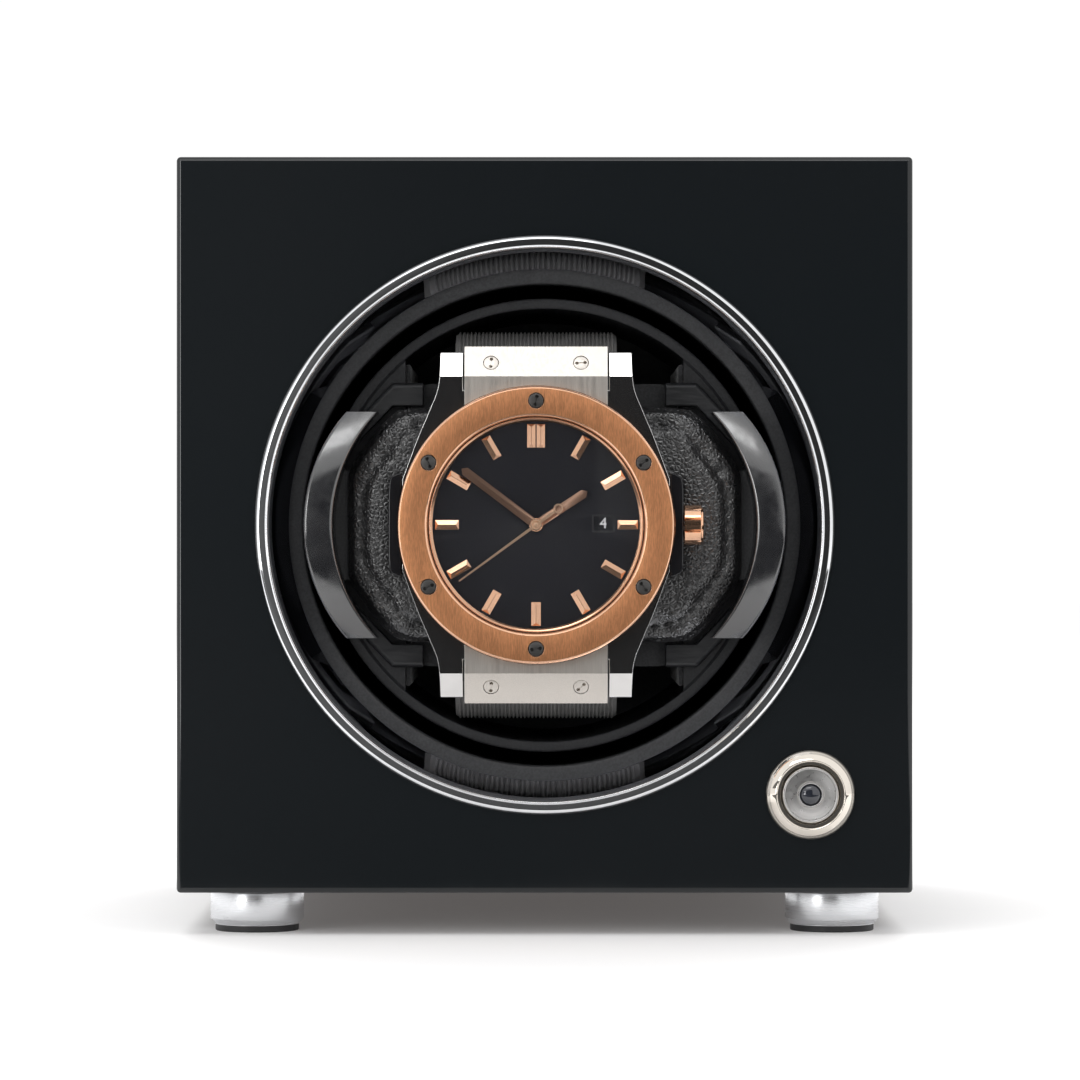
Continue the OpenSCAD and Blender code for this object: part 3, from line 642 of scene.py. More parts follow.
def stage_floor():
    size = 4.0
    f = Finish("floor", (0.90, 0.90, 0.90), roughness=0.9, Specular_IOR_Level=0.0,
               Emission_Color=(1.0, 0.92, 0.89, 1.0), Emission_Strength=0.09)
    f.tint(f.noise(30, 4), (0.89, 0.89, 0.895))
    f.bump(f.noise(900, 3), 0.02)
    stage_sheet("floor", flat_corners(size, -size, size, 0), f.material)


def dark_card(name, corners, darkest=0.02):
    """Dark card in front of the box. Only reflections see it: it paints dark reflections on glossy surfaces
    and casts no shade; its glow, a painted reflection, is lighter towards the left.
    """
    f = Finish(name, (0.0, 0.0, 0.0), roughness=1.0, Emission_Color=(1.0, 1.0, 1.0, 1.0))
    split = f.node("ShaderNodeSeparateXYZ")
    f.links.new(f.place, split.inputs["Vector"])
    side = f.ranged(split.outputs["X"], 0.0, -0.20, darkest, 0.10)
    f.links.new(side, f.shader.inputs["Emission Strength"])
    stage_sheet(name, corners, f.material, glossy_only=True)


def dark_cards():
    near, far, half = -0.150, -1.7, 0.40
    left, top = -0.90, 1.0
    # The floor card hides the bright floor from reflections, painting a dark reflection on the lower part of
    # the front; the front card paints a dark room behind the camera
    dark_card("floor_card", flat_corners(half, far, near, 0.0006))
    dark_card("front_card", [(left, far, 0), (half, far, 0), (half, far, top), (left, far, top)])
    # This small card floats in front of the watch where nothing stands; only reflections see it, and it
    # paints a darker reflection on the lower facets of the hour batons
    dark_card("baton_reflection_card", flat_corners(0.020, -0.100, -0.077, 0.030), darkest=0.15)


def soft_light(name, spot, width, height, radiance, glossy=True):
    """Rectangular softbox that faces the window; radiance is what a mirror would show of it."""
    light = bpy.data.lights.new(name, "AREA")
    light.shape = "RECTANGLE"
    light.size, light.size_y = width, height
    light.energy = radiance * pi * width * height
    lamp = bpy.data.objects.new(name, light)
    lamp.location = spot
    lamp.rotation_euler = (WINDOW - Vector(spot)).to_track_quat("-Z", "Y").to_euler()
    lamp.visible_camera = False
    lamp.visible_glossy = glossy
    bpy.context.scene.collection.objects.link(lamp)


def studio():
    world = bpy.data.worlds.new("studio")
    world.use_nodes = True
    world.node_tree.nodes["Background"].inputs["Color"].default_value = (1.0, 1.0, 1.0, 1.0)
    world.node_tree.nodes["Background"].inputs["Strength"].default_value = 1.03
    bpy.context.scene.world = world
    bpy.context.scene.view_settings.view_transform = "Standard"
    soft_light("key_above_camera", (-0.16, -0.62, 0.80), 0.60, 0.20, 3.1)
    soft_light("front_fill", (-0.10, -0.95, 0.16), 0.50, 0.36, 2.0, glossy=False)
    soft_light("left_light", (-0.50, -0.72, 0.15), 0.22, 0.40, 4.4)
    soft_light("back_light", (0.0, 1.0, 1.3), 1.6, 0.8, 3.6, glossy=False)


def camera():
    data = bpy.data.cameras.new("camera")
    data.sensor_width = 36.0
    data.lens = 171.0
    data.clip_end = 20.0
    cam = bpy.data.objects.new("camera", data)
    cam.location = (-0.0007, cabinet_low.y - 0.780, 0.0602)
    cam.rotation_euler = (pi / 2, 0, 0)
    bpy.context.scene.collection.objects.link(cam)
    bpy.context.scene.camera = cam


# ---- cabinet ----


def window_ring():
    """Chrome ring: a rounded inner lip, a flat band and a rolled outer edge."""
    r = box_mm("bezel_ring").x / 2
    near = depth_of("bezel_ring", WINDOW)[0]
    lip, roll, band = 0.14, 0.72, near + 0.22
    profile = [(42.3, 4.0), (42.3, -0.1), (42.1, -0.3)]
    profile += arc(42.1 + lip, near + lip, lip, lip, 180, 320, 10) + [(42.52, band)]
    profile += arc(r - roll, 0.0, roll, -band, 270, 360, 14)
    profile += [(42.7, 0.0), (42.7, 4.0)]
    piece("window_ring", turned(profile, steps=256), WINDOW, "cabinet", "chrome", "bezel_ring")


def funnel():
    """Concave polished wall between the ring and the collar."""
    near, far = depth_of("funnel_ring", WINDOW)
    wall = arc(23.085, -2.744, 19, 19, 8, 32, 24)
    profile = wall + [(39.2, far), (42.65, far), (42.65, 4.1), (42.2, 4.1), (42.2, near)]
    piece("funnel_wall", turned(profile, steps=256), WINDOW, "cabinet", "chrome",
          "funnel_ring", finishes=("chrome_wall",))


def collar():
    """Matte ring behind the window, its rims rounded, with a short spigot behind it."""
    near, far = depth_of("collar", WINDOW)
    r = box_mm("collar").x / 2
    back = near + 2
    profile = arc(37.5, near + 0.4, 0.4, 0.4, 180, 270, 4) + [(r - 0.3, near), (r, near + 0.3), (r, back)]
    profile += [(37.95, back), (37.95, far), (37.1, far)]
    piece("collar_ring", turned(profile), WINDOW, "cabinet", "matte_black", "collar")


def push_switch():
    r = box_mm("switch_bezel").x / 2
    near, far = depth_of("switch_bezel", BUTTON)
    bore = 4.43
    dome = smooth_curve([(4.98, near + 0.6), (5.02, near + 0.2), (5.15, near + 0.03), (5.35, near + 0.02),
                         (5.9, near + 0.38), (r - 0.42, near + 0.88), (r - 0.12, near + 1.25),
                         (r, near + 1.7)], 5)
    profile = [(bore, near + 1.3), (4.6, near + 1.1), (4.95, near + 1.1)] + dome
    profile += [(r, 0), (5.95, 0), (5.95, 22), (1.8, 22), (1.8, 14), (bore, 14)]
    pins = [rod(0.7, 21.5, far, 16, 0.15).moved(x) for x in (-1.5, 1.5)]
    thread_rings = [turned([(5.9, d), (6.1, d + 0.25), (5.9, d + 0.5)], steps=64)
                    for d in (12.2, 13.2, 14.2, 15.2)]
    whole = joined([turned(profile)] + pins + thread_rings)
    piece("switch_ring", whole, BUTTON, "cabinet", "nickel", "switch_bezel")


def push_button():
    r = box_mm("switch_button").x / 2
    near, far = depth_of("switch_button", BUTTON)
    face = [(1.65, 1.4), (1.65, near + 0.12)] + arc(1.85, near + 0.14, 0.2, 0.14, 180, 300, 4)
    face += [(x, near + 0.10 + 0.021 * x * x) for x in np.linspace(2.1, r - 0.5, 8)]
    face += arc(r - 0.28, near + 0.28, 0.22, 0.22, 200, 360, 6)
    profile = face + [(r, 5), (1.5, 5), (1.5, far), (0.0, far), (0.0, 1.4)]
    piece("button_disc", turned(profile), BUTTON, "button", "satin_steel", "switch_button")
    lens_near, lens_far = depth_of("switch_lens", BUTTON)
    dome = arc(0.0, lens_near + 0.75, 1.55, 0.75, 270, 345, 8)
    lens = dome + [(1.6, lens_near + 0.75), (1.6, lens_far), (0.0, lens_far)]
    piece("button_lens", turned(lens, steps=64), BUTTON, "button", "lens", "switch_lens")


def feet():
    """Turned aluminium feet with a step at the top, a chamfer at the foot and a rubber pad."""
    low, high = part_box("feet")
    r = 7.2
    top = high.z / MM
    metal, pads = [], []
    for x in (low.x + r * MM, high.x - r * MM):
        for y in (low.y + r * MM, high.y - r * MM):
            side = [(1.7, top), (r - 0.35, top), (r - 0.35, top - 0.35)]
            side += arc(r - 0.18, top - 0.53, 0.18, 0.18, 90, 0, 3)
            side += [(r, 1.95), (r - 0.06, 1.8), (r - 0.7, 1.06), (r - 0.78, 1.0), (6.5, 1.0), (6.5, 1.8)]
            side += [(1.7, 1.8)]
            pad = [(0.0, 1.8), (6.45, 1.8), (6.45, 0.12), (6.33, 0.0), (4.2, 0.0), (4.0, 0.15), (0.0, 0.15)]
            upright = turn_of(90, "X")
            metal.append(turned(side, steps=96).changed(upright).moved(x / MM, y / MM, 0))
            pads.append(turned(pad, steps=64).changed(upright).moved(x / MM, y / MM, 0))
    piece("feet_metal", joined(metal), FLOOR, "cabinet", "aluminium", "feet")
    piece("feet_pads", joined(pads), FLOOR, "cabinet", "rubber", "foot_pads")


# ---- drum ----


def drum():
    r = box_mm("drum").x / 2
    near, far = depth_of("drum", WINDOW)
    rim, floor, plate = r - 1.6, near + 55, near + 0.5
    profile = [(0.0, plate), (rim - 0.3, plate)] + arc(rim + 0.25, near + 0.25, 0.25, 0.25, 180, 270, 4)
    profile += arc(r - 0.3, near + 0.3, 0.3, 0.3, 270, 360, 4)
    profile += [(r, floor + 4), (8, floor + 4), (8, far), (3, far), (3, floor + 2), (0.0, floor + 2)]
    sweep = degrees(asin(box_mm("slot_liners").x / 2 / rim))
    outline = arc(0, 0, rim, rim, 90 - sweep, 90 + sweep, 32)
    outline += arc(0, 0, rim, rim, 270 - sweep, 270 + sweep, 32)
    piece("drum_moulding", turned(profile), WINDOW, "drum", "drum_black", "drum",
          cuts=[prism(outline, near - 5, floor)], edge=0.22, segments=2, edge_angle=50)


def liners():
    low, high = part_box("slot_liners")
    near, far = depth_of("slot_liners", WINDOW)
    half = (high.z - low.z) / 2 / MM
    strip = prism(rectangle(0.8, 2 * half, 0.35, steps=3), near, far)
    out = (high.x - low.x) / 2 / MM - 0.4
    both = joined([strip.moved(-out), strip.moved(out)])
    piece("pocket_felt", both, WINDOW, "drum", "felt", "slot_liners", edge=0.2, segments=2)


# ---- holder ----


def end_frames():
    """C-shaped plates, broadly rounded along their outer edges."""
    near, far = depth_of("right_end_frame", WINDOW)
    outline = [(18.7, 22), (23.6, 22), (34, 11.1), (34, -11.1), (23.6, -22), (18.7, -22), (18.7, -18.4),
               (23.5, -18.4), (30.9, -10.6), (30.9, 10.6), (23.5, 18.4), (18.7, 18.4)]

    def weight(spot):
        x, depth, height = abs(spot.x) / MM, (spot.y - WINDOW.y) / MM, abs(spot.z - WINDOW.z) / MM
        outer = depth < near + 0.1 and (x > 31.5 or x + height > 43.5 or height > 21.9)
        return 1.0 if outer else 0.3

    for side, node in ((1, "right_end_frame"), (-1, "left_end_frame")):
        obj = new_object(node + "_plate", prism(outline, near, far).flipped(side), WINDOW)
        cut(obj, prism(rectangle(6, 17.6, x=32 * side), near - 1, near + 1.9), WINDOW)
        weigh_edges(obj, weight)
        rounded_edges(obj, 0.85, 3, weighted=True)
        smooth(obj, 35)
        dress(obj, "holder", "frame_black", node)


def grips():
    """Curved finger grips: crescents from the front, with faces rounded over their height."""
    near, far = depth_of("right_grip", WINDOW)
    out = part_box("right_grip")[1].x / MM
    half = box_mm("right_grip").z / 2
    outer_r, inner_r, face_r, width, stations = 27, 25.5, 32, 4.5, 40
    for side, node in ((1, "right_grip"), (-1, "left_grip")):
        rings = []
        for k in range(stations + 1):
            h = half * (2 * k / stations - 1)
            x_out = out - outer_r + sqrt(outer_r ** 2 - h * h)
            x_in = out - width - inner_r + sqrt(inner_r ** 2 - h * h)
            front = near + face_r - sqrt(face_r ** 2 - h * h)
            section = filleted([(x_in, front), (x_out, front), (x_out, far), (x_in, far)], 0.55, 4)
            rings.append([(side * x, d, h) for x, d in section])
        piece(node + "_shell", loft(rings), WINDOW, "cushion", "satin_black", node, edge=0.45,
              edge_angle=60, angle=40)


def swollen(shape, origin, name, voxel, pressure, cap, pinned):
    """Cloth-simulated padding. It runs at a garment's size, which the solver expects, and comes back."""
    size_up = 20.0
    obj = new_object(name, shape.changed(Matrix.Scale(size_up, 4)), FLOOR)
    remesh = obj.modifiers.new("remesh", "REMESH")
    remesh.mode = "VOXEL"
    remesh.voxel_size = voxel * size_up * MM
    settle(obj)
    count = len(obj.data.vertices)
    rest = np.empty(count * 3)
    obj.data.vertices.foreach_get("co", rest)
    rest = rest.reshape(-1, 3)
    pins = obj.vertex_groups.new(name="pins")
    held = [i for i, co in enumerate(rest / size_up / MM) if pinned(*co)]
    pins.add(held, 1.0, "REPLACE")
    cloth = obj.modifiers.new("cloth", "CLOTH")
    cloth.settings.use_pressure = True
    cloth.settings.uniform_pressure_force = pressure
    cloth.settings.effector_weights.gravity = 0.0
    cloth.settings.vertex_group_mass = pins.name
    cloth.settings.quality = 5
    scene = bpy.context.scene
    for step in range(1, 21):
        scene.frame_set(step)
    seen = obj.evaluated_get(bpy.context.evaluated_depsgraph_get())
    found = np.empty(count * 3)
    seen.data.vertices.foreach_get("co", found)
    shift = found.reshape(-1, 3) - rest
    length = np.linalg.norm(shift, axis=1, keepdims=True)
    limit = cap * size_up * MM
    rest = rest + shift * np.minimum(1.0, limit / np.maximum(length, 1e-9))
    obj.modifiers.clear()
    scene.frame_set(1)
    put_points(obj, rest / size_up + np.array(origin))
    relax = obj.modifiers.new("relax", "SMOOTH")
    relax.factor, relax.iterations = 0.5, 5
    settle(obj)
    return obj


def fitted(points, low, high, axes):
    """Points stretched along the named axes to fill a span from low to high."""
    for axis in axes:
        a, b = points[:, axis].min(), points[:, axis].max()
        points[:, axis] = low[axis] + (points[:, axis] - a) * (high[axis] - low[axis]) / (b - a)
    return points


def points_of(obj):
    flat = np.empty(len(obj.data.vertices) * 3)
    obj.data.vertices.foreach_get("co", flat)
    return flat.reshape(-1, 3)


def put_points(obj, points):
    obj.data.vertices.foreach_set("co", points.astype(np.float32).ravel())
    obj.data.update()


def seam_distance(points, seam):
    """Distance from each (x, height) point to a closed seam line, and how far along the seam it lies."""
    line = np.array(seam)
    gaps = np.linalg.norm(points[:, None, :] - line[None, :, :], axis=2)
    nearest = gaps.argmin(axis=1)
    steps = np.linalg.norm(np.diff(np.vstack([line, line[:1]]), axis=0), axis=1)
    along = np.concatenate([[0], np.cumsum(steps)[:-1]])
    return gaps.min(axis=1), along[nearest]


def evenly(seam, pitch):
    """Points about a pitch apart round a closed line, with the pitch made to fit."""
    line = [Vector(p) for p in seam]
    lengths = [(line[(i + 1) % len(line)] - line[i]).length for i in range(len(line))]
    total = sum(lengths)
    count = round(total / pitch)
    out, i, gone = [], 0, 0.0
    for k in range(count):
        want = total * k / count
        while gone + lengths[i] < want:
            gone += lengths[i]
            i += 1
        t = (want - gone) / lengths[i]
        out.append(line[i].lerp(line[(i + 1) % len(line)], t))
    return out


def mark_on(tree, start, direction):
    """Place and normal where a ray, from a point in millimetres round the window, meets a surface."""
    hit, normal, _, _ = tree.ray_cast(WINDOW + start * MM, direction)
    return (hit - WINDOW) / MM, normal


def stitch(start, end, radius, sink):
    """Thread between two marks: it stands proud in the middle and dips into the leather at its ends."""
    a, b = start[0].lerp(end[0], 0.12), start[0].lerp(end[0], 0.88)
    outward = (start[1] + end[1]).normalized()
    along = (b - a).normalized()
    side = along.cross(outward).normalized()
    rings = []
    for k in range(9):
        t = k / 8
        r = radius * (0.35 + 0.65 * sin(pi * min(max(t, 0.06), 0.94)) ** 0.5)
        centre = a.lerp(b, t) + outward * (radius * 0.6 * sin(pi * t) - sink * (1 - sin(pi * t)))
        twist = 5 * t
        rings.append([centre + side * (r * cos(q + twist) * (1 + 0.12 * cos(3 * q)))
                      + outward * (r * sin(q + twist) * (1 + 0.12 * cos(3 * q)))
                      for q in [tau * m / 9 for m in range(9)]])
    return loft(rings)


def pad_outline(inset, radius):
    width, height = box_mm("cushion_pad").x / 2 - inset, box_mm("cushion_pad").z / 2 - inset
    cut_x, cut_y = 7.3, 9.5
    corner = [(width, height - cut_y), (width - cut_x, height)]
    points = corner + [(-x, y) for x, y in reversed(corner)]
    points += [(-x, -y) for x, y in corner] + [(x, -y) for x, y in reversed(corner)]
    return filleted(points, radius, 8)


def leather_pad():
    """Leather pad: cloth-simulated padding, then a sewn channel with a dimple at each stitch."""
    near, far = depth_of("cushion_pad", WINDOW)
    watch_back = depth_of("watch_case", WINDOW)[1]
    pitch, inset = 2.15, 2.45
    base = prism(pad_outline(0.75, 8.5), near + 0.55, far - 0.25)
    obj = swollen(base, WINDOW, "pad_leather", 0.62, 5.0, 1.1, lambda x, d, h: d > far - 0.4)
    local = (points_of(obj) - np.array(WINDOW)) / MM
    half_w, half_h = box_mm("cushion_pad").x / 2, box_mm("cushion_pad").z / 2
    local = fitted(local, (-half_w, near, -half_h), (half_w, far, half_h), (0, 2))
    seam = pad_outline(inset, 7.2)
    dense = [tuple(p) for p in evenly(seam, 0.25)]
    gap, along = seam_distance(local[:, [0, 2]], dense)
    front = local[:, 1] < (near + far) / 2
    dimple = 0.78 + 0.22 * np.cos(tau * along / pitch)
    local[:, 1] += np.where(front, 0.95 * dimple * np.exp(-(gap / 0.58) ** 2), 0.0)
    # the padding gives way to the watch's case and bumpers
    x_gap = np.abs(local[:, 0] - WATCH_SIDE)
    open_side = np.clip((x_gap - 22.6) / 2.0, 0, 1)
    limit = (watch_back + 0.15) * (1 - open_side) + (near - 1.6) * open_side
    limit = np.where(np.hypot(x_gap, local[:, 2]) < 19.5, 8.85, limit)
    local[:, 1] = np.maximum(local[:, 1], np.minimum(limit, far - 0.3))
    upholster(obj, local, "cushion", "cushion_pad")
    sew(obj, "pad_stitching", seam, pitch, "cushion", near)


def upholster(obj, local, body, node):
    """Leather over padding, from its points in millimetres round the window."""
    put_points(obj, local * MM + np.array(WINDOW))
    subdivision = obj.modifiers.new("subdivision", "SUBSURF")
    subdivision.levels = subdivision.render_levels = 1
    settle(obj)
    smooth(obj, 180)
    dress(obj, body, "leather", node)


def surface_of(obj):
    """The object's surface, ready to be hit by rays."""
    mesh = obj.data
    return BVHTree.FromPolygons([v.co.copy() for v in mesh.vertices], [p.vertices[:] for p in mesh.polygons])


def sew(obj, name, seam, pitch, body, near):
    """Stitches along a closed seam on the front of a padded piece."""
    tree = surface_of(obj)
    marks = [mark_on(tree, Vector((p.x, near - 8, p.y)), Vector((0, 1, 0))) for p in evenly(seam, pitch)]
    threads = [stitch(*pair, 0.27, 0.16) for pair in zip(marks, marks[1:] + marks[:1])]
    piece(name, joined(threads), WINDOW, body, "leather", finishes=("thread",))


def cuff():
    """Leather cuff behind the pad: a padded loop with a row of stitches near each side."""
    near, far = depth_of("cuff_wrap", WINDOW)
    half_w, half_h = box_mm("cuff_wrap").x / 2, box_mm("cuff_wrap").z / 2
    outer = rectangle(far - near - 0.9, 2 * half_h - 0.9, 8.6, (near + far) / 2, 0, 10)
    inner = rectangle(30.4 + 0.7, 35.3 + 0.9, 1.2, 33.15, 0, 3)
    ring = across(outer, -half_w + 0.45, half_w - 0.45)
    shell = new_object("cuff_start", ring, FLOOR)
    cut(shell, across(inner, -half_w - 2, half_w + 2), FLOOR)
    obj = swollen(taken(shell), WINDOW, "cuff_leather", 0.8, 4.0, 0.5,
                  lambda x, d, h: abs(h) < 17.9 and 17.6 < d < 48.8)
    local = (points_of(obj) - np.array(WINDOW)) / MM
    local = fitted(local, (-half_w, near, -half_h), (half_w, far, half_h), (0, 1, 2))
    edge = half_w - 2.6
    outside = (np.abs(local[:, 2]) > 19.2) | (local[:, 1] > far - 2.6)
    groove = 0.45 * np.exp(-((np.abs(local[:, 0]) - edge) / 0.6) ** 2) * outside
    away = local[:, [1, 2]] - np.array([(near + far) / 2, 0.0])
    away /= np.maximum(np.linalg.norm(away, axis=1, keepdims=True), 1e-6)
    local[:, [1, 2]] -= away * groove[:, None]
    upholster(obj, local, "holder", "cuff_wrap")
    cuff_stitches(obj, edge, near, far, half_h)


def cuff_stitches(obj, edge, near, far, half_h):
    tree = surface_of(obj)
    loop = evenly(rectangle(far - near, 2 * half_h, 9, (near + far) / 2, 0, 10), 2.4)
    path = [p for p in loop if p.x > near + 3]
    threads = []
    for x in (-edge, edge):
        marks = []
        for p in path:
            centre = Vector(((near + far) / 2, 0))
            away = (p - centre).normalized()
            start = Vector((x, centre.x + away.x * 60, away.y * 60))
            marks.append(mark_on(tree, start, Vector((0, -away.x, -away.y))))
        threads += [stitch(a, b, 0.25, 0.12) for a, b in zip(marks, marks[1:]) if (b[0] - a[0]).length < 3.5]
    piece("cuff_stitching", joined(threads), WINDOW, "holder", "leather", finishes=("thread",))


# ---- watch ----


def watch_bezel():
    r = box_mm("watch_bezel").x / 2
    far = depth_of("watch_bezel", WATCH)[1]
    bore = 16.45
    profile = [(bore, 0.42), (bore + 0.12, 0.28), (bore + 0.36, 0.02), (bore + 0.42, 0.0), (r - 0.40, 0.0),
               (r - 0.34, 0.02), (r - 0.03, 0.42), (r, 0.52), (r, far - 0.1), (r - 0.1, far), (bore, far)]
    marks = [1, 1, 1, 0, 1, 1, 1, 1, 1, 1, 1]
    holes = [rod(1.2, -1, 2, 32).moved(height=BEZEL_SCREW_R).spun(60 * k) for k in range(6)]
    piece("bezel_plate", turned(profile, marks), WATCH, "cushion", "rose_gold", "watch_bezel",
          ("rose_gold", "polished_gold"), [joined(holes)], edge=0.06, segments=1, edge_angle=60, polished=1)


def link_slope(x, side):
    """Place on the sloping face of a centre link, side being 1 above the dial and -1 below it."""
    return Matrix.Translation((x, 3.66, 24.7 * side)) @ turn_of(-25 * side, "X")


def spanner_head(length):
    """Flush screw with a rounded rim, two pin holes and a slot."""
    rim = [(0.0, 0.03), (0.95, 0.03), (1.08, 0.06), (1.15, 0.15), (1.15, length), (0.0, length)]
    obj = new_object("spanner_head", turned(rim, steps=40), FLOOR)
    cut(obj, joined([rod(0.27, -1, 0.7, 16).moved(height=h) for h in (-0.62, 0.62)]), FLOOR)
    cut(obj, prism(rectangle(0.16, 1.72), -1, 0.2), FLOOR)
    return taken(obj)


def watch_screws():
    """Six screws in the bezel and four in the centre links."""
    turns = [12, 52, -38, 80, 64, -20]
    places = [turn_of(60 * k) @ Matrix.Translation((0, 0.02, BEZEL_SCREW_R)) @ turn_of(turn - 60 * k)
              for k, turn in enumerate(turns)]
    for m in (1, -1):
        for x, turn in ((-LINK_SCREW_X, 4), (LINK_SCREW_X, 86 if m > 0 else 45)):
            places.append(link_slope(x, m) @ turn_of(turn))
    head = spanner_head(1.9)
    obj = new_object("spanner_screws", joined([head.changed(p) for p in places]), WATCH)
    link_height = 22 * MM
    for polygon in obj.data.polygons:
        polygon.material_index = 1 if abs(polygon.center.z - WATCH.z) > link_height else 0
    smooth(obj, 35)
    dress(obj, "cushion", "grey_steel", "watch_screws", ("grey_steel", "link_steel"))


def stem_hole(start):
    """Cutter for the crown's stem, from a distance right of the middle to past the bumper."""
    return rod(1.0, start, 24, 32).changed(turn_of(-90, "Z")).moved(depth=STEM_DEPTH)


def case_outline():
    flank = [(14.6, 26.3), (14.9, 21.2), (16.2, 17.6), (17.9, 13.6), (19.6, 9.1), (20.4, 6.9)]
    quarter = smooth_curve(flank, 5)
    quarter = [(11.1, 20.5), (11.1, 26.3)] + quarter
    half = quarter + [(x, -y) for x, y in reversed(quarter)]
    return half + [(-x, -y) for x, y in half]


def watch_case():
    """Mid case with lugs: satin faces, polished chamfers and tips that slope back."""
    near, far = 3.3, 9.0
    obj = new_object("case_body", prism(case_outline(), near, far), WATCH)
    cut(obj, rod(16.6, near - 1, far + 1, 128), WATCH)
    for m in (1, -1):
        wedge = across([(3.2, 22.4 * m), (5.4, 27.2 * m), (3, 28 * m), (0, 24 * m)], -20, 20)
        cut(obj, wedge, WATCH)
    cut(obj, stem_hole(12), WATCH)
    for polygon in obj.data.polygons:
        slopes = -0.98 < polygon.normal.y < -0.3
        polygon.material_index = 1 if slopes else 0
    rounded_edges(obj, 0.52, 1, 30, polished=1)
    smooth(obj, 16)
    dress(obj, "cushion", "case_steel", "watch_case", ("case_steel", "polished_steel"))


def bumpers():
    outline = smooth_curve([(20.45, -8), (21.6, -7.6), (22.4, -6.4), (22.5, 0), (22.4, 6.4), (21.6, 7.6),
                            (20.45, 8)], 3)
    whole = joined([prism(outline, 3.6, 8.7), prism(outline, 3.6, 8.7).flipped()])
    piece("side_bumpers", whole, WATCH, "cushion", "polished_black", "watch_side_bumpers",
          cuts=[stem_hole(19)], edge=0.4, edge_angle=40, angle=40)


def watch_glass():
    r = box_mm("watch_crystal").x / 2 - 0.02
    near, far = depth_of("watch_crystal", WATCH)
    profile = [(0.0, near), (r - 0.45, near), (r - 0.15, near + 0.12), (r, near + 0.4), (r, far), (0.0, far)]
    piece("crystal_disc", turned(profile), WATCH, "cushion", "crystal", "watch_crystal")
    reflector = [(16.3, 1.75), (16.38, 1.75), (16.38, 3.08), (15.75, 3.08), (15.78, 2.95), (15.98, 2.9),
                 (16.0, 2.5), (16.18, 2.4)]
    piece("dial_ring", turned(reflector), WATCH, "cushion", "rose_gold", finishes=("polished_gold",))


def dial():
    near, far = depth_of("watch_dial", WATCH)
    r = box_mm("watch_dial").x / 2
    disc = [(0.95, near + 0.02), (1.0, near), (r, near), (r, far), (0.95, far)]
    opening = prism(rectangle(3, 2.2, 0.12, DATE_X, DATE_Z, 3), near - 1, far + 1)
    piece("dial_disc", turned(disc), WATCH, "cushion", "dial_black", "watch_dial", cuts=[opening],
          edge=0.05, segments=2, edge_angle=60)
    outer = rectangle(3.5, 2.7, 0.2, DATE_X, DATE_Z, 3)
    inner = rectangle(2.92, 2.12, 0.12, DATE_X, DATE_Z, 3)
    levels = ((outer, 0.02), (outer, -0.1), (inner, -0.1), (inner, 0.1))
    rings = [[(x, near + rise, y) for x, y in outline] for outline, rise in levels]
    piece("date_frame", loft(rings, loop=True), WATCH, "cushion", "dial_black", finishes=("drum_black",))


def numbers():
    """Date disc with the numbers of the month, each upright as it passes the window."""
    near, far = depth_of("watch_date_disc", WATCH)
    r = box_mm("watch_date_disc").x / 2
    profile = [(8.2, near + 0.03), (8.24, near), (r - 0.04, near), (r, near + 0.03), (r, far), (8.2, far)]
    piece("date_ring", turned(profile), WATCH, "date_disc", "dial_black", "watch_date_disc")
    shapes = Shape()
    shown, days, text_mm = 4, 31, 2.35
    for day in range(1, days + 1):
        curve = bpy.data.curves.new("number", "FONT")
        curve.body = str(day)
        curve.size = text_mm
        curve.space_character = 0.9
        curve.align_x, curve.align_y = "CENTER", "CENTER"
        curve.extrude = 0.015
        text = bpy.data.objects.new("number", curve)
        mesh = bpy.data.meshes.new_from_object(text)
        letter = Shape([(v.co.x, near - 0.01 - v.co.z, v.co.y) for v in mesh.vertices],
                       [p.vertices[:] for p in mesh.polygons])
        squeeze = Matrix.Diagonal((0.85 if day > 9 else 1.0, 1, 1, 1))
        shapes.add(letter.changed(squeeze).moved(DATE_X, 0, DATE_Z).spun((shown - day) * 360 / days))
        bpy.data.objects.remove(text)
    piece("date_numbers", shapes, WATCH, "date_disc", "dial_black", finishes=("white_print",))


def baton(length, width):
    """Applied marker with upright sides and four facets that rise to a ridge, pointing up."""
    height, ridge = 0.42, 0.03
    rings = []
    levels = ((width, length, 0.0), (width, length, 0.06), (2 * ridge, length - 0.9, height))
    for x_size, z_size, rise in levels:
        rings.append([(x, -rise, z) for x, z in rectangle(x_size, z_size)])
    return loft(rings)


def markers():
    near = depth_of("watch_dial", WATCH)[0]
    shapes = []
    for hour in range(1, 13):
        if hour == 12:
            shapes += [baton(3.6, 1.26).moved(x, near, 13.55) for x in (-0.72, 0.72)]
        elif hour == 3:
            shapes.append(baton(3.1, 1.4).moved(0, near, 13.95).spun(90))
        else:
            shapes.append(baton(3.6, 1.44).moved(0, near, 13.55).spun(30 * hour))
    piece("hour_batons", joined(shapes), WATCH, "cushion", "polished_gold", "watch_hour_markers", angle=15)


def pointer_angle(node):
    """Clockwise angle from twelve of a hand's long arm, from where its CAD box reaches furthest."""
    low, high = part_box(node)
    x = high.x - WATCH.x if high.x - WATCH.x > WATCH.x - low.x else low.x - WATCH.x
    z = high.z - WATCH.z if high.z - WATCH.z > WATCH.z - low.z else low.z - WATCH.z
    return degrees(atan2(x, z))


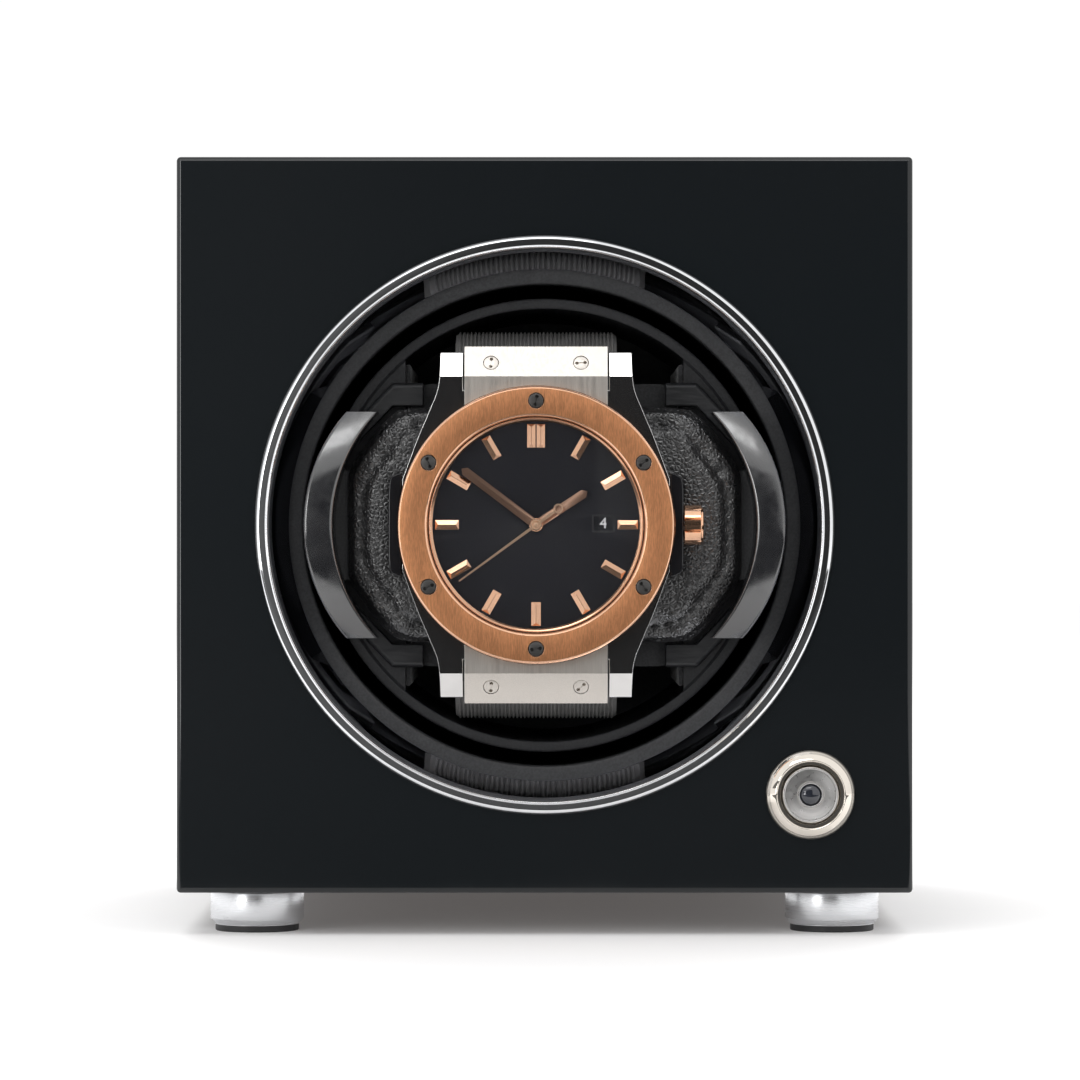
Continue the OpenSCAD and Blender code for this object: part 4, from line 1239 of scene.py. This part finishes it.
def hand(name, node, body, length, width, hub_r, tube_r):
    """Flat hand with a bevelled edge, and a hub with a tube on its pivot."""
    near, far = depth_of(node, WATCH)
    w = width / 2
    outline = [(0, length), (-w, length - w), (-w, 0), (w, 0), (w, length - w)]
    hub = turned([(tube_r - 0.2, near - 0.03), (hub_r - 0.1, near - 0.03), (hub_r, near + 0.05),
                  (hub_r, near + 0.14), (tube_r, near + 0.14), (tube_r, far), (tube_r - 0.2, far)],
                 marks=[1] * 7, steps=48)
    obj = new_object(name, prism(outline, near, near + 0.15).spun(pointer_angle(node)), WATCH)
    cut(obj, rod(tube_r - 0.15, near - 1, far + 1, 32), WATCH)
    rounded_edges(obj, 0.06, 2, 40, polished=1)
    settle(obj)
    obj.data = join_into(obj.data, mesh_of("hub", hub, WATCH))
    smooth(obj, 35)
    dress(obj, body, "rose_gold", node, ("hand_gold", "polished_gold"))


def join_into(mesh, other):
    bm = bmesh.new()
    bm.from_mesh(mesh)
    bm.from_mesh(other)
    whole = bpy.data.meshes.new(mesh.name)
    bm.to_mesh(whole)
    bm.free()
    return whole


def hands():
    hand("hour_pointer", "watch_hour_hand", "hour_hand", 9.35, 1.35, 1.02, 0.85)
    hand("minute_pointer", "watch_minute_hand", "minute_hand", 14.2, 1.35, 0.98, 0.55)
    second_hand()


def second_hand():
    """Thin seconds hand with a plain ring as its counterweight."""
    near, far = depth_of("watch_second_hand", WATCH)
    top, bottom = near + 0.15, near + 0.25
    needle = prism([(-0.25, -3.4), (-0.12, 14.5), (0.12, 14.5), (0.25, -3.4)], top, bottom)
    ring = turned([(0.48, top), (0.75, top), (0.75, bottom), (0.48, bottom)], steps=40).moved(0, 0, -4.2)
    cap = turned([(0.0, near), (0.22, near), (0.32, near + 0.07), (0.34, top + 0.07), (0.50, top + 0.07),
                  (0.60, top - 0.04), (0.74, top - 0.04), (0.8, top + 0.03), (0.8, bottom), (0.28, bottom),
                  (0.28, far), (0.0, far)], steps=48)
    whole = joined([needle, ring, cap]).spun(pointer_angle("watch_second_hand"))
    piece("second_pointer", whole, WATCH, "second_hand", "polished_gold",
          "watch_second_hand", finishes=("needle_gold",), edge=0.03, segments=1)


def crown():
    """Fluted polished crown on the right of the case, with a slightly domed cap."""
    low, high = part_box("watch_crown")
    inner, outer = (low.x - WATCH.x) / MM, (high.x - WATCH.x) / MM
    depth = (middle("watch_crown").y - WATCH.y) / MM
    flutes, steps, full = 10, 240, 3.05

    def ring(x, r, flute):
        out = []
        for k in range(steps):
            a = tau * k / steps
            off_middle = (a * flutes / tau) % 1 - 0.5
            groove = max(0.0, abs(off_middle) - 0.39) / 0.11
            rr = r - flute * sqrt(groove)
            out.append((x, depth + rr * sin(a), rr * cos(a)))
        return out

    rings = [ring(inner, 2.7, 0.0), ring(inner + 0.02, 2.97, 0.30), ring(inner + 0.08, full, 0.32),
             ring(outer - 0.50, full, 0.32), ring(outer - 0.42, full - 0.06, 0.30)]
    cap = ((0.38, 2.70), (0.16, 2.66), (0.04, 2.4), (0, 1.5), (0, 0.4))
    rings += [ring(outer - back, r, 0.0) for back, r in cap]
    piece("crown_knob", loft(rings), WATCH, "crown", "polished_gold", "watch_crown", angle=30)


def end_links():
    """Centre links: a sloping face with two screws, and a brushed flat that runs up to the bezel."""
    half, seat = box_mm("watch_end_links").x / 2, 3.28
    outline = [(seat, 17.9), (2.7, 17.9), (2.7, 22.6), (4.85, 27.2), (8, 27.2), (8, 20.6), (seat, 20.6)]
    shapes = joined([across([(d, h * m) for d, h in outline], -half, half) for m in (1, -1)])
    cuts = [rod(box_mm("watch_bezel").x / 2 + 0.12, -1, seat, 160)]
    for m in (1, -1):
        seats = [rod(1.2, -1, 1.95, 32).changed(link_slope(x, m)) for x in (-LINK_SCREW_X, LINK_SCREW_X)]
        cuts.append(joined(seats))
    piece("centre_links", shapes, WATCH, "cushion", "link_steel", "watch_end_links",
          ("link_steel", "polished_steel"), cuts, edge=0.10, segments=2, edge_angle=40, polished=1, angle=16)


def strap():
    """Ribbed rubber strap: a loop with ribs along it, open behind the case."""
    width = box_mm("watch_strap").x
    thick, ribs = 2.8, 41
    across_loop, tall, corner, start = 53.2, box_mm("watch_strap").z, 14, 8.6
    loop = rectangle(across_loop - thick, tall - thick, corner - thick / 2, LOOP_DEPTH, 0, 12)
    centre = evenly(loop, 1.1)
    count = len(centre)
    inside = [p.x > start for p in centre]
    first = next(i for i in range(count) if inside[i] and not inside[i - 1])
    path = []
    for k in range(count):
        p = centre[(first + k) % count]
        if p.x <= start:
            break
        path.append(p)
    rings = []
    for i, p in enumerate(path):
        ahead = (path[min(i + 1, len(path) - 1)] - path[max(i - 1, 0)]).normalized()
        out = Vector((ahead.y, -ahead.x))
        if out.dot(p - Vector((LOOP_DEPTH, 0))) < 0:
            out = -out
        section = []
        for k in range(ribs):
            for t, raised in ((0.12, 0.0), (0.35, 1.0), (0.65, 1.0), (0.88, 0.0)):
                x = -width / 2 + 0.35 + (width - 0.7) * (k + t) / ribs
                section.append((x, thick / 2 - 0.28 * (1 - raised)))
        half, face = width / 2, thick / 2
        section += [(half, face - 0.5), (half, 0.4 - face), (half - 0.4, -face),
                    (0.4 - half, -face), (-half, 0.4 - face), (-half, face - 0.5)]
        rings.append([(x, p.x + out.x * t, p.y + out.y * t) for x, t in section])
    piece("strap_band", loft(rings), WATCH, "cushion", "strap_rubber", "watch_strap", angle=40)


def clasp():
    """Strap clasp: a brushed plate with polished rounded edges and two grooves."""
    near, far = depth_of("watch_clasp", WATCH)
    w, h = box_mm("watch_clasp").x, box_mm("watch_clasp").z
    plate = prism(rectangle(w, h, 2.2), near, far)
    grooves = [prism(rectangle(w + 2, 0.35, y=y), far - 0.35, far + 1) for y in (-8.2, 8.2)]
    piece("clasp_plate", plate, WATCH, "cushion", "steel", "watch_clasp", ("steel", "polished_steel"),
          grooves, edge=0.25, edge_angle=40, polished=1)


# ---- CAD nodes that keep their shape ----


def finish_cad_nodes():
    for name, obj in NODES.items():
        obj.data.materials.clear()
        obj.data.materials.append(FINISH[SLOTS[name]])


BUILDS = (finish_cad_nodes, camera, stage_floor, dark_cards, studio, window_ring, funnel, collar,
          push_switch, push_button, feet, drum, liners, end_frames, grips, leather_pad, cuff,
          watch_bezel, watch_screws, watch_case, bumpers, watch_glass, dial, numbers, markers, hands,
          crown, end_links, strap, clasp)
for build in BUILDS:
    build()
